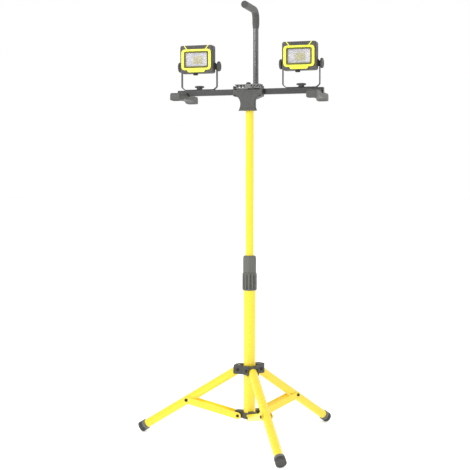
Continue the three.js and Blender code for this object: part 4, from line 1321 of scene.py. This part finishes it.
def build_tilt_knob(node, place):
    """A round clamping knob with a scalloped rim, a hub and a sunk centre."""
    low, high = span(node)
    tilt = place.translation
    side = 1 if (low.x + high.x) / 2 > tilt.x else -1
    start = 66.35
    profile = [(0, start - 12), (3, start - 12), (3, start), (9, start), (9.5, start + 0.8)]
    profile += [(16, start + 1.8), (17.5, start + 3.4), (17.5, start + 7.2), (16.6, start + 9), (14.4, start + 10)]
    profile += [(11, start + 10), (10, start + 8.6), (4.5, start + 8.4), (4, start + 9.4)]
    profile += [(0, start + 9.4)]
    knob = revolved(profile, 120, knob_groove(start + 2, flutes(20, 0.8, 0.55)))
    refined(node, moved(knob, place, Matrix.Diagonal((side, 1, 1, 1)), ALONG_X), DARK)


def build_button(name):
    low, high = span(f"power_button_{name}")
    centre = (low + high) / 2
    radius = (high.x - low.x) / 2
    profile = [(0, low.z), (radius - 3.5, low.z), (radius - 1.2, low.z + 0.6)]
    profile += [(radius - 0.2, low.z + 1.8), (radius, low.z + 2.6), (radius, low.z + 4.2)]
    profile += [(radius - 2, low.z + 4.2), (radius - 2, high.z), (0, high.z)]
    button = moved(revolved(profile, TURNED), at(centre.x, centre.y, 0))
    refined(f"power_button_{name}", button, BUTTON)


# ---------------------------------------------------------------- studio
FRONT_WALL = 0.45


def build_studio():
    floor_mesh = bpy.data.meshes.new("studio_floor")
    size = 60
    corners = [(-size, -size, 0), (size, -size, 0), (size, size, 0), (-size, size, 0)]
    floor_mesh.from_pydata(corners, [], [(0, 1, 2, 3)])
    floor = bpy.data.objects.new("studio_floor", floor_mesh)
    bpy.context.scene.collection.objects.link(floor)
    paper = Finish("studio_paper", 0.9)
    grain = paper.ranged(paper.noise(900), 0, 1)
    paper.colour(paper.mixed(grain, (0.95, 0.95, 0.95), (0.97, 0.97, 0.97)))
    paper.shader.inputs["Emission Color"].default_value = (1, 1, 1, 1)
    paper.shader.inputs["Emission Strength"].default_value = 0.35
    floor_mesh.materials.append(paper.material)
    world = bpy.data.worlds.new("studio")
    world.use_nodes = True
    shade_room(world.node_tree)
    bpy.context.scene.world = world
    soft_light("key", (-1.6, -3.4, 2.6), 1.8, 85)
    soft_light("fill", (3.0, -2.2, 1.6), 1.6, 4)
    soft_light("rim", (2.4, 2.6, 2.2), 1.4, 12)
    bpy.context.scene.view_settings.view_transform = "Standard"


def shade_room(tree):
    """A white room whose wall behind the camera is dimmer, so that round parts show their shape."""
    direction = tree.nodes.new("ShaderNodeTexCoord")
    split = tree.nodes.new("ShaderNodeSeparateXYZ")
    wall = tree.nodes.new("ShaderNodeMapRange")
    wall.interpolation_type = "SMOOTHSTEP"
    wall.inputs["From Min"].default_value = -0.95
    wall.inputs["From Max"].default_value = 0.1
    wall.inputs["To Min"].default_value = FRONT_WALL
    wall.inputs["To Max"].default_value = 1.0
    tree.links.new(direction.outputs["Generated"], split.inputs["Vector"])
    tree.links.new(split.outputs["Y"], wall.inputs["Value"])
    tree.links.new(wall.outputs["Result"], tree.nodes["Background"].inputs["Strength"])
    tree.nodes["Background"].inputs["Color"].default_value = (1, 1, 1, 1)


def soft_light(name, place, size, power):
    light = bpy.data.lights.new(name, "AREA")
    light.shape = "DISK"
    light.size = size
    light.energy = power
    lamp = bpy.data.objects.new(name, light)
    bpy.context.scene.collection.objects.link(lamp)
    target = Vector((MAST_X * MM, 0, 0.75))
    lamp.location = Vector(place)
    lamp.rotation_euler = (target - lamp.location).to_track_quat("-Z", "Y").to_euler()


def build_camera():
    """From 17 degrees to the right of the front, at chest height, looking slightly down."""
    turn = math.radians(16.65)
    distance = 3.724
    height = 0.892
    sideways = -0.0513
    right = Vector((math.cos(turn), math.sin(turn), 0))
    data = bpy.data.cameras.new("camera")
    data.lens = 81.5
    data.sensor_width = 36
    camera = bpy.data.objects.new("camera", data)
    bpy.context.scene.collection.objects.link(camera)
    away = Vector((math.sin(turn), -math.cos(turn), 0))
    camera.location = Vector((MAST_X * MM, 0, height)) + away * distance + right * sideways
    camera.rotation_euler = (math.radians(90 - 2.64), 0, turn)
    bpy.context.scene.camera = camera


build_mast()
build_collar()
build_hub()
build_legs()
build_struts()
build_lower_bracket()
build_tee()
build_top_frame()
build_tee_knob()
build_handle()
build_crossbar()
for lamp_name in LAMPS:
    build_foot_bar(lamp_name)
    build_lamp(lamp_name)
build_studio()
build_camera()
